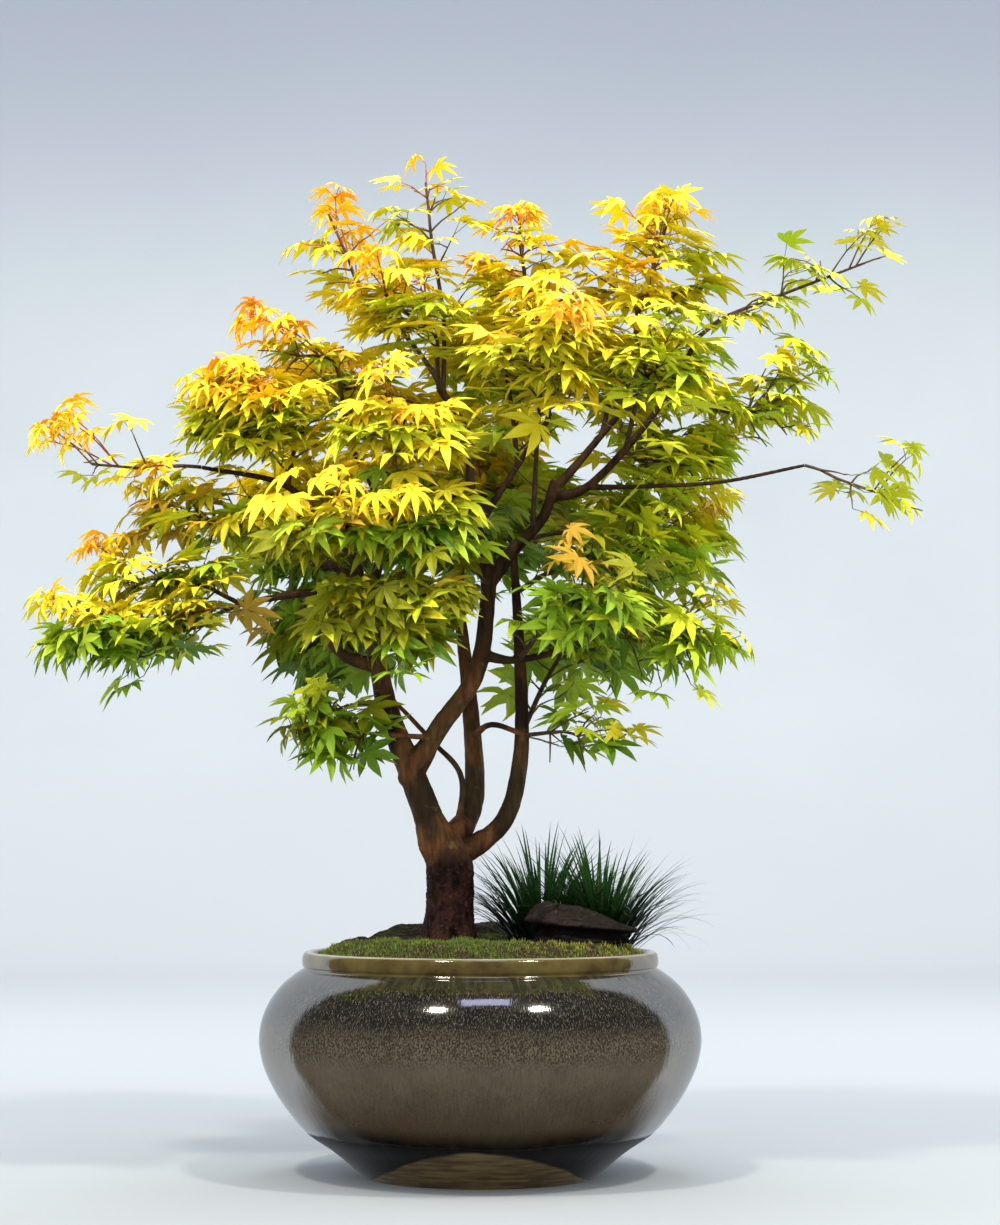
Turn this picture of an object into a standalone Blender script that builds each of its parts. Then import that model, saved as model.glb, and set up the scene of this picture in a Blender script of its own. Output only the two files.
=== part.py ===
"""Small japanese maple grown as a potted miniature tree, in a glazed bowl with soil, a stone and grass.

Metres, +Z up, origin at the centre of the pot's flat underside, -Y towards the front, +X to the right.
Sizes below are in millimetres and are turned to metres where the meshes are made.
"""
import math
import random

import bpy
import bmesh
from mathutils import Vector
from mathutils.bvhtree import BVHTree

# ---------------------------------------------------------------- named sizes (millimetres)
MM = 0.001
WELD = 1e-6                # vertices nearer than this, in metres, are one
GAP = 0.3                  # air between neighbouring parts
TURN = 36                  # steps round the pot and the soil

POT_HEIGHT = 176.0
POT_BELLY = 175.0          # largest outer radius
POT_MOUTH = 139.8          # outer radius of the rim
POT_NECK = 130.0           # radius of the opening
POT_FOOT = 94.0            # radius of the flat underside
POT_WALL = 7.6
POT_FLOOR = 12.0

SOIL_SEAT = 184.0          # level ground that carries trunk, stone and grass
SOIL_BACK = 194.0          # crest of the mound behind the trunk
SOIL_EDGE = 173.5          # soil level where it meets the pot

TRUNK_X = -25.0
TRUNK_RADIUS = 19.0
TRUNK_TOP = 268.0
ROOT_FLARE = 6.0

LEAF = 64.0                # length of a leaf from root to tip
LEAF_WIDE = 0.53           # half width over length
LEAF_THICK = 1.4
LEAF_ROOT = 0.8            # thickness where a leaf leaves its twig
LEAF_SINK = 0.4            # how far a leaf root runs past the middle line of its twig
LEAF_LEAST = 38.0          # shortest leaf that is kept
LEAF_AIR = 0.55            # air kept between a leaf and the parts around it
LEAF_NECK = 5.0            # part of a leaf that may come near its own twig
POSES = 6                  # ways a leaf may hang before it is skipped
MOST_LEAVES = 12           # in one mass
STEM = 3.4                 # radius of a mass's stem where it starts
STEM_END = 2.5             # and at its far end
STEM_STEP = 34.0           # run between the rings of a stem
STEM_SLIDE = 0.1           # step by which a stem's start moves out until it is clear of its limb
SHORT_STEM = 26.0          # below this run from limb to space a stem goes straight in
TWIG = 1.3                 # radius of a side twig
TWIG_LEAST = 9.0           # with less room than this a leaf sits on the stem
TWIG_MOST = 66.0           # longest side twig
TWIG_FALL = 1.5            # how far a twig's tip hangs below its own line
PAIR_LEAST = 16.0          # room from which a twig also has a pair of leaves near its tip
MIDDLE_LEAST = 34.0        # room from which it has another pair halfway
NODE_STEP = 15.0           # run of stem between pairs of twigs
TALL_MASS = 34.0           # half height from which a mass also sends twigs up and down
DROOP_ROOM = 20.0          # extra height a mass's space keeps for hanging leaf tips

COLOURS = {
    "glaze": ((0.035, 0.030, 0.022), 0.18, 0.0),
    "soil": ((0.055, 0.060, 0.020), 0.95, 0.0),
    "stone": ((0.045, 0.030, 0.024), 0.80, 0.0),
    "bark": ((0.090, 0.045, 0.025), 0.80, 0.0),
    "grass": ((0.020, 0.090, 0.030), 0.60, 0.0),
    "gold": ((0.780, 0.480, 0.020), 0.50, 0.0),
    "lime": ((0.380, 0.560, 0.020), 0.50, 0.0),
    "green": ((0.160, 0.380, 0.030), 0.50, 0.0),
}

# Limbs: name, control points of the centre line, radius at the start, radius at the tip
LIMBS = [
    ("left_leader", [(-31, 0, 252), (-47, -2, 297), (-74, -5, 368), (-87, -3, 436), (-105, 5, 500)],
     13.0, 4.0),
    ("centre_leader", [(-57, -5, 314), (-32, -12, 354), (-2, -15, 400), (8, -8, 478)],
     8.5, 6.0),
    ("back_leader", [(-28, 6, 256), (-6, 25, 296), (-9, 40, 376), (-18, 55, 460), (-14, 58, 512)],
     10.0, 3.0),
    ("right_leader", [(-20, 4, 250), (18, 8, 278), (32, 12, 330), (32, 17, 400), (26, 22, 504)],
     8.5, 3.0),
    ("upper_left_bough", [(7, -8, 472), (-7, 0, 536), (-11, 5, 590), (-34, 8, 628)],
     5.2, 2.5),
    ("upper_right_bough", [(6, -9, 468), (25, -6, 494), (50, -3, 522), (60, 0, 552)],
     5.6, 4.0),
    ("right_high_bough", [(59, 0, 545), (78, 2, 566), (124, 8, 622)], 3.6, 2.5),
    ("right_arm_bough", [(56, -2, 538), (89, -5, 549), (140, -10, 606), (176, -8, 668)],
     3.8, 2.2),
    ("far_right_twig", [(84, -5, 546), (130, -20, 545), (192, -26, 548), (258, -28, 561)],
     2.2, 1.5),
    ("top_middle_bough", [(-5, -2, 510), (10, 8, 535), (56, 15, 606)], 3.4, 2.3),
    ("hooked_bough", [(-82, -5, 402), (-108, -12, 410), (-121, -16, 426), (-112, -20, 450)],
     5.4, 3.0),
    ("left_low_bough", [(-90, -1, 448), (-125, -12, 461), (-192, -15, 452)], 4.4, 2.4),
    ("left_mid_bough", [(-95, 0, 468), (-116, 8, 482), (-138, 12, 487)], 4.0, 2.8),
    ("left_high_bough", [(-104, 4, 494), (-130, 6, 521), (-160, 4, 550), (-225, 0, 563)],
     3.8, 1.8),
    ("high_left_bough", [(-90, -2, 452), (-80, 6, 500), (-86, 4, 545), (-108, 4, 585)],
     4.2, 2.4),
    ("mid_right_bough", [(1, -14, 411), (28, -9, 407), (76, -8, 417)], 3.8, 2.4),
    ("low_right_twig", [(-8, 34, 346), (9, 6, 356), (36, -12, 347)], 2.8, 2.2),
    ("low_left_twig", [(-36, -11, 345), (-58, -24, 346), (-74, -27, 347)], 2.6, 2.0),
    ("inner_shoot", [(-22, 8, 256), (-15, 14, 312), (-40, 22, 344), (-78, 32, 384)], 3.0, 1.8),
]

# Leaf masses: name, limb it grows from, how far along that limb, centre, half sizes (along, across, up),
# heading and rise in degrees (0 is to the right, 90 to the back), colour, seed
MASSES = [
    ("left_low_lower", "left_low_bough", 0.93, (-272, -35, 427), (98, 54, 30), 188, -6, "green", 2),
    ("left_low_upper", "left_low_bough", 1.0, (-246, -2, 471), (86, 52, 22), 178, 2, "gold", 1),
    ("left_shoots", "left_high_bough", 1.0, (-296, 0, 564), (66, 46, 40), 182, 4, "gold", 4),
    ("left_mid", "left_mid_bough", 1.0, (-212, 16, 521), (78, 60, 30), 175, 4, "lime", 3),
    ("left_upper_layer", "left_high_bough", 0.5, (-176, -24, 600), (68, 60, 30), 192, 5, "gold", 5),
    ("upper_left_tip", "high_left_bough", 1.0, (-146, -10, 652), (54, 44, 26), 186, 8, "gold", 6),
    ("top_shoot", "upper_left_bough", 0.96, (-42, 0, 770), (48, 44, 32), 180, 84, "lime", 9),
    ("top_left", "upper_left_bough", 0.82, (-108, 4, 735), (64, 42, 42), 172, 66, "gold", 7),
    ("crown_top", "top_middle_bough", 1.0, (38, 2, 700), (70, 54, 54), 180, 82, "gold", 10),
    ("crown_right", "right_high_bough", 1.0, (136, -12, 714), (68, 56, 54), 10, 72, "gold", 11),
    ("right_high_arm", "right_arm_bough", 1.0, (256, 5, 709), (98, 42, 30), 0, 21, "lime", 12),
    ("right_tip", "far_right_twig", 1.0, (312, -30, 540), (62, 30, 24), -2, -20, "lime", 15),
    ("right_arm_mid", "right_arm_bough", 0.66, (232, 12, 612), (56, 46, 40), 6, 8, "lime", 13),
    ("right_inner", "right_arm_bough", 0.40, (156, 44, 573), (60, 54, 42), 30, 2, "lime", 14),
    ("right_low", "mid_right_bough", 1.0, (146, -10, 424), (78, 60, 42), 0, -10, "green", 17),
    ("right_low_upper", "right_leader", 0.86, (128, 4, 496), (68, 58, 36), -6, 4, "green", 16),
    ("low_right_spray", "low_right_twig", 1.0, (74, -18, 347), (56, 40, 32), -6, -18, "green", 18),
    ("low_left_spray", "low_left_twig", 1.0, (-104, -36, 347), (48, 40, 28), 188, -10, "green", 19),
    ("crown_left", "upper_left_bough", 1.0, (-58, -34, 682), (60, 60, 56), 214, 30, "gold", 8),
    ("front_gold_left", "left_leader", 0.90, (-122, -118, 502), (48, 62, 26), 262, 3, "gold", 20),
    ("front_gold_high", "high_left_bough", 0.55, (-61, -112, 571), (50, 62, 32), 280, 3, "gold", 21),
    ("front_low", "hooked_bough", 1.0, (-72, -88, 438), (50, 62, 36), 300, -4, "gold", 22),
    ("front_centre", "centre_leader", 0.93, (-42, -100, 504), (46, 44, 40), 244, 2, "lime", 23),
    ("front_yellow_top", "upper_right_bough", 0.55, (49, -112, 638), (56, 62, 36), 270, 12, "gold", 24),
    ("front_right_top", "right_arm_bough", 0.42, (134, -104, 625), (52, 54, 40), 284, 10, "lime", 25),
    ("front_right_low", "mid_right_bough", 0.42, (86, -92, 450), (52, 52, 40), 300, 2, "green", 26),
    ("back_low_left", "inner_shoot", 1.0, (-138, 100, 428), (54, 46, 46), 134, -6, "lime", 27),
    ("back_left", "left_leader", 1.0, (-140, 140, 520), (82, 76, 62), 110, 4, "lime", 28),
    ("back_centre", "back_leader", 1.0, (0, 172, 560), (86, 90, 72), 90, 4, "green", 29),
    ("back_right", "right_leader", 1.0, (140, 140, 520), (82, 76, 62), 46, 4, "green", 30),
    ("back_top", "top_middle_bough", 0.62, (20, 112, 670), (72, 76, 58), 90, 22, "lime", 31),
    ("back_low_right", "right_leader", 0.45, (100, 120, 436), (66, 62, 46), 56, 0, "green", 32),
    ("back_left_high", "upper_left_bough", 0.70, (-112, 90, 640), (68, 68, 50), 140, 10, "gold", 33),
    ("back_right_high", "right_high_bough", 0.62, (132, 90, 650), (68, 68, 50), 56, 10, "lime", 34),
]

# ---------------------------------------------------------------- clean start
for old in list(bpy.data.objects):
    bpy.data.objects.remove(old, do_unlink=True)

maple = bpy.data.collections.new("potted_japanese_maple")
bpy.context.scene.collection.children.link(maple)
cutters = bpy.data.collections.new("cutters")
bpy.context.scene.collection.children.link(cutters)


def material(name, key):
    """The named plain finish, as one object's own material."""
    colour, rough, metal = COLOURS[key]
    mat = bpy.data.materials.new(name + "_" + key)
    mat.use_nodes = True
    bsdf = mat.node_tree.nodes["Principled BSDF"]
    bsdf.inputs["Base Color"].default_value = (*colour, 1.0)
    bsdf.inputs["Roughness"].default_value = rough
    bsdf.inputs["Metallic"].default_value = metal
    return mat


def solid(name, verts, faces, key=None, where=None):
    """One mesh object from millimetre points."""
    mesh = bpy.data.meshes.new(name)
    mesh.from_pydata([Vector(v) * MM for v in verts], [], faces)
    mesh.update()
    obj = bpy.data.objects.new(name, mesh)
    (where or maple).objects.link(obj)
    if key:
        obj.data.materials.append(material(name, key))
    return obj


def apply_modifier(obj):
    """Put the result of an object's modifiers in the place of its mesh."""
    graph = bpy.context.evaluated_depsgraph_get()
    graph.update()
    done = bpy.data.meshes.new_from_object(obj.evaluated_get(graph))
    obj.modifiers.clear()
    old = obj.data
    obj.data = done
    bpy.data.meshes.remove(old)


def round_shade(obj, degrees):
    """Smooth shading that keeps edges sharper than an angle."""
    for poly in obj.data.polygons:
        poly.use_smooth = True
    obj.data.set_sharp_from_angle(angle=math.radians(degrees))


def islands(bm):
    """Groups of joined faces."""
    seen = set()
    groups = []
    for face in bm.faces:
        if face in seen:
            continue
        seen.add(face)
        stack = [face]
        group = []
        while stack:
            here = stack.pop()
            group.append(here)
            for edge in here.edges:
                for other in edge.link_faces:
                    if other not in seen:
                        seen.add(other)
                        stack.append(other)
        groups.append(group)
    return groups


def group_volume(group):
    """Signed volume inside a group of faces, positive when they face outwards."""
    total = 0.0
    for face in group:
        ring = [v.co for v in face.verts]
        for i in range(1, len(ring) - 1):
            total += ring[0].dot(ring[i].cross(ring[i + 1])) / 6.0
    return total


def mesh_volume(mesh):
    bm = bmesh.new()
    bm.from_mesh(mesh)
    total = group_volume(bm.faces)
    bm.free()
    return total


def weld(obj):
    """Join the vertices that meet and turn every face outwards."""
    bm = bmesh.new()
    bm.from_mesh(obj.data)
    bmesh.ops.remove_doubles(bm, verts=bm.verts, dist=WELD)
    bmesh.ops.recalc_face_normals(bm, faces=list(bm.faces))
    if group_volume(bm.faces) < 0:
        bmesh.ops.reverse_faces(bm, faces=list(bm.faces))
    bm.to_mesh(obj.data)
    bm.free()
    obj.data.update()
    return obj


def keep_main(obj):
    """Drop loose scraps and inner shells, leaving one main body; tells whether it is closed."""
    bm = bmesh.new()
    bm.from_mesh(obj.data)
    bmesh.ops.triangulate(bm, faces=list(bm.faces))
    bmesh.ops.remove_doubles(bm, verts=bm.verts, dist=WELD)
    groups = islands(bm)
    groups.sort(key=group_volume, reverse=True)
    for group in groups[1:]:
        bmesh.ops.delete(bm, geom=group, context="FACES")
    loose = [v for v in bm.verts if not v.link_faces]
    bmesh.ops.delete(bm, geom=loose, context="VERTS")
    closed = bool(bm.faces) and all(len(e.link_faces) == 2 for e in bm.edges)
    bm.to_mesh(obj.data)
    bm.free()
    obj.data.update()
    return closed


def tree_of(verts, faces):
    return BVHTree.FromPolygons(verts, faces)


def mesh_tree(obj):
    """Search tree of an object's faces, in millimetres."""
    return BVHTree.FromPolygons([v.co / MM for v in obj.data.vertices],
                                [tuple(p.vertices) for p in obj.data.polygons])


def cut(obj, cutter, neighbour):
    """Take the cutter out of the object, by the second solver where the first leaves them touching."""
    plain = obj.data.copy()
    for solver in ("EXACT", "MANIFOLD"):
        mod = obj.modifiers.new("cut", "BOOLEAN")
        mod.operation = "DIFFERENCE"
        mod.object = cutter
        mod.solver = solver
        apply_modifier(obj)
        if keep_main(obj) and not mesh_tree(obj).overlap(neighbour):
            return True
        obj.data = plain.copy()
    return False


def triangles(obj):
    """Points in millimetres and triangle corners of an object, for the tests of room."""
    obj.data.calc_loop_triangles()
    verts = [v.co / MM for v in obj.data.vertices]
    tris = [tuple(t.vertices) for t in obj.data.loop_triangles]
    return verts, tris


# ---------------------------------------------------------------- tubes
def smooth_path(points, step):
    """Catmull-Rom curve through the control points, sampled about every step."""
    pts = [Vector(p) for p in points]
    ext = [pts[0] * 2 - pts[1]] + pts + [pts[-1] * 2 - pts[-2]]
    path = []
    for i in range(1, len(ext) - 2):
        p0, p1, p2, p3 = ext[i - 1], ext[i], ext[i + 1], ext[i + 2]
        count = max(1, int(round((p2 - p1).length / step)))
        for k in range(count):
            t = k / count
            a = p1 * 2
            b = p2 - p0
            c = p0 * 2 - p1 * 5 + p2 * 4 - p3
            d = p1 * 3 - p0 - p2 * 3 + p3
            path.append((a + b * t + c * t * t + d * t * t * t) * 0.5)
    path.append(pts[-1])
    return path


def path_point(path, share):
    """Point and direction at a share of a path's length."""
    lengths = [0.0]
    for a, b in zip(path, path[1:]):
        lengths.append(lengths[-1] + (b - a).length)
    goal = lengths[-1] * share
    for i in range(1, len(path)):
        if lengths[i] >= goal - 1e-9:
            span = lengths[i] - lengths[i - 1]
            t = (goal - lengths[i - 1]) / span
            return path[i - 1].lerp(path[i], t), (path[i] - path[i - 1]).normalized()
    return path[-1], (path[-1] - path[-2]).normalized()


def tube(path, radii, sides=3, grow=0.0):
    """Closed tapering tube along a path, made by hand since a curve's bevel has four sides at least."""
    path = [Vector(p) for p in path]
    if grow:
        path[0] = path[0] - (path[1] - path[0]).normalized() * grow
        path[-1] = path[-1] + (path[-1] - path[-2]).normalized() * grow
    swell = grow / math.cos(math.pi / sides)
    verts = []
    side = Vector((0.13, 0.97, 0.2))
    for i, p in enumerate(path):
        axis = (path[min(len(path) - 1, i + 1)] - path[max(0, i - 1)]).normalized()
        side = (side - axis * side.dot(axis)).normalized()
        other = axis.cross(side)
        for k in range(sides):
            ang = 2 * math.pi * k / sides
            verts.append(p + (side * math.cos(ang) + other * math.sin(ang)) * (radii[i] + swell))
    faces = []
    for i in range(len(path) - 1):
        for k in range(sides):
            n = (k + 1) % sides
            a = i * sides
            b = a + sides
            faces.append((a + k, a + n, b + n, b + k))
    faces.append(tuple(reversed(range(sides))))
    top = (len(path) - 1) * sides
    faces.append(tuple(top + k for k in range(sides)))
    return verts, faces


def limb_object(name, path, radii, resolution, grow=0.0, where=None):
    """Tapering limb from a curve with a round bevel, made a closed mesh; grow swells it all round."""
    path = [Vector(p) for p in path]
    if grow:
        path[0] = path[0] - (path[1] - path[0]).normalized() * grow
        path[-1] = path[-1] + (path[-1] - path[-2]).normalized() * grow
    swell = grow / math.cos(math.pi / (4 + 2 * resolution))
    curve = bpy.data.curves.new(name + "_line", "CURVE")
    curve.dimensions = "3D"
    curve.bevel_depth = MM
    curve.bevel_resolution = resolution
    curve.use_fill_caps = True
    spline = curve.splines.new("POLY")
    spline.points.add(len(path) - 1)
    for point, place, radius in zip(spline.points, path, radii):
        point.co = (*(place * MM), 1.0)
        point.radius = radius + swell
    line = bpy.data.objects.new(name + "_line", curve)
    cutters.objects.link(line)
    graph = bpy.context.evaluated_depsgraph_get()
    graph.update()
    mesh = bpy.data.meshes.new_from_object(line.evaluated_get(graph))
    mesh.name = name
    obj = bpy.data.objects.new(name, mesh)
    obj.matrix_world = line.matrix_world.copy()
    (where or maple).objects.link(obj)
    bpy.data.objects.remove(line, do_unlink=True)
    bpy.data.curves.remove(curve)
    return weld(obj)


def taper(start, end, count):
    """Evenly spaced radii from start to end."""
    return [start + (end - start) * i / (count - 1) for i in range(count)]


# ---------------------------------------------------------------- turned bodies
def reshape(obj, rule):
    """Move every vertex to where a rule in millimetres sends it."""
    for vert in obj.data.vertices:
        vert.co = Vector(rule(*(vert.co / MM))) * MM
    obj.data.update()
    return obj


def turned(name, profile, key, steps=TURN):
    """Turn a profile that starts and ends on the axis into a closed body."""
    obj = solid(name, [(r, 0.0, z) for r, z in profile], [])
    mesh = obj.data
    mesh.edges.add(len(profile) - 1)
    for i in range(len(profile) - 1):
        mesh.edges[i].vertices = (i, i + 1)
    mod = obj.modifiers.new("turn", "SCREW")
    mod.angle = 2 * math.pi
    mod.steps = steps
    mod.render_steps = steps
    mod.use_merge_vertices = True
    mod.merge_threshold = 0.1 * MM
    apply_modifier(obj)
    weld(obj)
    obj.data.materials.clear()
    obj.data.materials.append(material(name, key))
    return obj


# ---------------------------------------------------------------- pot
POT_OUTSIDE = [
    (POT_MOUTH - 3.5, POT_HEIGHT), (POT_MOUTH, POT_HEIGHT - 3.5), (POT_MOUTH + 1.0, POT_HEIGHT - 12.6),
    (POT_MOUTH + 14.0, 153.6), (POT_BELLY - 7.5, 136.5), (POT_BELLY, 111.0), (POT_BELLY - 4.2, 83.2),
    (POT_BELLY - 14.2, 64.3), (POT_BELLY - 36.0, 34.8), (POT_BELLY - 56.3, 21.5),
    (POT_FOOT, 0.0), (0.0, 0.0),
]
POT_INSIDE = [
    (0.0, POT_FLOOR), (POT_FOOT - 2.0, POT_FLOOR), (POT_BELLY - 38.0, 45.0),
    (POT_BELLY - 13.0, 84.0), (POT_BELLY - POT_WALL, 109.0),
    (POT_BELLY - 16.0, 132.0), (POT_NECK, 161.0), (POT_NECK + 1.0, POT_HEIGHT - 1.0),
]
pot = turned("pot", POT_INSIDE + POT_OUTSIDE, "glaze")
round_shade(pot, 35.0)

# ---------------------------------------------------------------- soil
SOIL_AIR = 0.45            # soil radius under the pot's inside radius
SOIL_RINGS = [117.0, 103.0, 78.0, 48.0, 0.0]
MOUND_START = 50.0         # where the ground begins to rise towards the back
MOUND_RUN = 34.0
SLOPE_START = 104.0        # radius where it falls away to the rim
SLOPE_RUN = 26.0


def blend(x):
    """Smooth step from 0 to 1."""
    x = min(1.0, max(0.0, x))
    return x * x * (3 - 2 * x)


def ground(x, y):
    """Height of the planted ground over a point."""
    level = SOIL_SEAT + (SOIL_BACK - SOIL_SEAT) * blend((y - MOUND_START) / MOUND_RUN)
    edge = blend((math.hypot(x, y) - SLOPE_START) / SLOPE_RUN)
    return level + (SOIL_EDGE - level) * edge


def soil_bed():
    """Soil that fills the pot with a little air round it, turned and then given its mound."""
    profile = [(0.0, POT_FLOOR + GAP), (POT_INSIDE[1][0] - 2 * GAP, POT_FLOOR + GAP)]
    for r, z in POT_INSIDE[2:7]:
        up_or_down = GAP if r > POT_INSIDE[1][0] and z < POT_INSIDE[4][1] else -GAP
        profile.append((r - SOIL_AIR, z + up_or_down))
    profile.append((POT_NECK - SOIL_AIR, SOIL_EDGE))
    profile += [(r, SOIL_SEAT) for r in SOIL_RINGS]
    bed = turned("soil_bed", profile, "soil")
    return reshape(bed, lambda x, y, z: (x, y, ground(x, y) if z > SOIL_EDGE - 1.0 else z))


soil = soil_bed()

# ---------------------------------------------------------------- stone
STONE_AT = (80.0, -30.0)
STONE_HALF = (45.0, 25.0)
STONE_TOP = 29.0
STONE_SIDES = 14
STONE_OUTLINE = [(0.0, 0.0), (0.84, 0.0), (0.90, 0.22), (1.0, 0.45), (0.74, 0.80), (0.40, 1.0), (0.0, 1.0)]
STONE_UNEVEN = 0.10
STONE_SHIFT = (-11.0, 3.0)  # how far its top leans over
STONE_FALL = 0.30          # loss of height towards the right


def stone_slab():
    """Flat weathered slab: a turned outline made uneven, leaning to the left and lower on the right."""
    rnd = random.Random(7)
    wobble = [1.0 + rnd.uniform(-STONE_UNEVEN, STONE_UNEVEN) for _ in range(STONE_SIDES)]

    def weathered(x, y, z):
        size = wobble[round(math.atan2(y, x) * STONE_SIDES / (2 * math.pi)) % STONE_SIDES]
        lean = max(0.0, z / STONE_TOP - 0.6) / 0.4
        px = x * size + STONE_SHIFT[0] * lean
        py = y * size * STONE_HALF[1] / STONE_HALF[0] + STONE_SHIFT[1] * lean
        slope = 1.0 - STONE_FALL * (px - STONE_SHIFT[0]) / STONE_HALF[0]
        return STONE_AT[0] + px, STONE_AT[1] + py, SOIL_SEAT + GAP + z * slope

    profile = [(STONE_HALF[0] * size, STONE_TOP * rise) for size, rise in STONE_OUTLINE]
    return reshape(turned("stone", profile, "stone", STONE_SIDES), weathered)


stone = stone_slab()

# ---------------------------------------------------------------- trunk and limbs
TRUNK_RISE = [0.0, 0.10, 0.25, 0.50, 0.72, 0.86, 1.0]
TRUNK_LEAN = [0.0, 0.0, 0.5, 1.0, 0.5, -3.0, -7.0]
TRUNK_TAPER = [1.05, 1.02, 0.99, 0.97, 1.0, 0.88, 0.72]
TRUNK_ROUND = 4            # bevel resolution: 12 sides
LIMB_ROUND = 2             # 8 sides
LIMB_STEP = 30.0           # run between the rings of a limb
FLARE_HEIGHT = 26.0
FLARE_LOBES = 5
FLARE_TURN = 3.4

trunk_foot = SOIL_SEAT + GAP
trunk_path = [Vector((TRUNK_X + lean, 0.0, trunk_foot + (TRUNK_TOP - trunk_foot) * rise))
              for rise, lean in zip(TRUNK_RISE, TRUNK_LEAN)]
trunk_radii = [TRUNK_RADIUS * share for share in TRUNK_TAPER]


def flare_roots(obj):
    """Push the foot of the trunk out into root lobes and keep its cut flat."""
    def flared(x, y, z):
        low = max(0.0, 1.0 - (z - trunk_foot) / FLARE_HEIGHT)
        reach = math.hypot(x - TRUNK_X, y)
        if reach < 1.0:
            return x, y, z
        lobes = 0.40 + 0.60 * math.cos(FLARE_LOBES * math.atan2(y, x - TRUNK_X) + FLARE_TURN)
        push = ROOT_FLARE * low * low * lobes / reach
        return x + (x - TRUNK_X) * push, y + y * push, z
    return reshape(obj, flared)


paths = {"trunk": trunk_path}
limb_radii = {"trunk": (TRUNK_RADIUS, trunk_radii[-1])}
trunk = flare_roots(limb_object("trunk", trunk_path, trunk_radii, TRUNK_ROUND))
trunk_tool = flare_roots(limb_object("cut_trunk", trunk_path, trunk_radii, TRUNK_ROUND, GAP, cutters))
limb_nodes = [trunk]
tools = {"trunk": (trunk_tool, mesh_tree(trunk_tool), mesh_tree(trunk))}

for name, points, r0, r1 in LIMBS:
    path = smooth_path(points, LIMB_STEP)
    radii = taper(r0, r1, len(path))
    paths[name] = path
    limb_radii[name] = (r0, r1)
    obj = limb_object(name, path, radii, LIMB_ROUND)
    shape = mesh_tree(obj)
    for other, (tool, reach, neighbour) in tools.items():
        if reach.overlap(shape) and not cut(obj, tool, neighbour):
            print("limb not clear after its cut:", name, other)
    tool = limb_object("cut_" + name, path, radii, LIMB_ROUND, GAP, cutters)
    tools[name] = (tool, mesh_tree(tool), mesh_tree(obj))
    limb_nodes.append(obj)

for tool in list(cutters.objects):
    bpy.data.objects.remove(tool, do_unlink=True)
bpy.data.collections.remove(cutters)

for obj in limb_nodes:
    obj.data.materials.clear()
    obj.data.materials.append(material(obj.name, "bark"))
    round_shade(obj, 60.0)


# ---------------------------------------------------------------- fusing and room
def fused(base, extras, solver):
    """Try one union of a collection of pieces onto the base piece."""
    plain = base.data.copy()
    mod = base.modifiers.new("fuse", "BOOLEAN")
    mod.operation = "UNION"
    mod.operand_type = "COLLECTION"
    mod.collection = extras
    mod.solver = solver
    apply_modifier(base)
    worked = keep_main(base) and mesh_volume(base.data) > 1.2 * mesh_volume(plain)
    spare = plain if worked else base.data
    if not worked:
        base.data = plain
    bpy.data.meshes.remove(spare)
    return worked


def fuse(base, extras):
    """Join a collection to its base piece; tells how many pieces kept it from closing and were left out."""
    lost = 0
    done = fused(base, extras, "EXACT") or fused(base, extras, "MANIFOLD")
    while not done and len(extras.objects) > 1:
        for piece in list(extras.objects):
            extras.objects.unlink(piece)
            done = fused(base, extras, "EXACT")
            if done:
                bpy.data.objects.remove(piece, do_unlink=True)
                break
            extras.objects.link(piece)
        else:
            bpy.data.objects.remove(extras.objects[-1], do_unlink=True)
        lost += 1
    for piece in list(extras.objects):
        bpy.data.objects.remove(piece, do_unlink=True)
    bpy.data.collections.remove(extras)
    return lost


class Room:
    """What is already standing, for tests of room."""

    def __init__(self):
        self.verts = []
        self.tris = []
        self.tree = None

    def add(self, verts, tris):
        base = len(self.verts)
        self.verts.extend(verts)
        self.tris.extend(tuple(base + i for i in t) for t in tris)
        self.tree = None

    def hits(self, tree):
        if self.tree is None:
            self.tree = tree_of(self.verts, self.tris)
        return bool(self.tree.overlap(tree))


room = Room()
for obj in [pot, soil, stone] + limb_nodes:
    room.add(*triangles(obj))


def new_set(name):
    """Fresh collection for the pieces of one node."""
    group = bpy.data.collections.new(name)
    bpy.context.scene.collection.children.link(group)
    return group


# ---------------------------------------------------------------- grass
GRASS_AT = (75.0, 22.0)
GRASS_FOOT = [(0.0, GAP), (40.0, GAP), (34.4, 4.0), (18.0, 7.0), (0.0, 7.0)]
GRASS_FOOT_FLAT = 0.325    # depth of the foot over its width
GRASS_SIDES = 16
GRASS_FEET = [(56.0, 24.0), (94.0, 20.0)]
GRASS_RING = 7.0           # radius of the ring the blades stand on
GRASS_START = 2.5          # height of their feet over the ground
GRASS_BLADE = 84.0
GRASS_BLADES = 30
GRASS_BENDS = 2            # straight runs in a blade
GRASS_ROOT = 1.3
GRASS_TIP = 0.55
GRASS_RISE = 80.0          # degrees a blade starts at
GRASS_AIR = 0.5


def grass_blade(foot, heading, lean, length):
    """Blade that rises and arches over."""
    path = [Vector(foot)]
    step = length / GRASS_BENDS
    rise = math.radians(GRASS_RISE)
    for _ in range(GRASS_BENDS):
        rise -= math.radians(lean) / GRASS_BENDS
        flat = Vector((math.cos(heading), math.sin(heading), 0.0)) * math.cos(rise)
        path.append(path[-1] + (flat + Vector((0.0, 0.0, math.sin(rise)))) * step)
    return path


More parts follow.
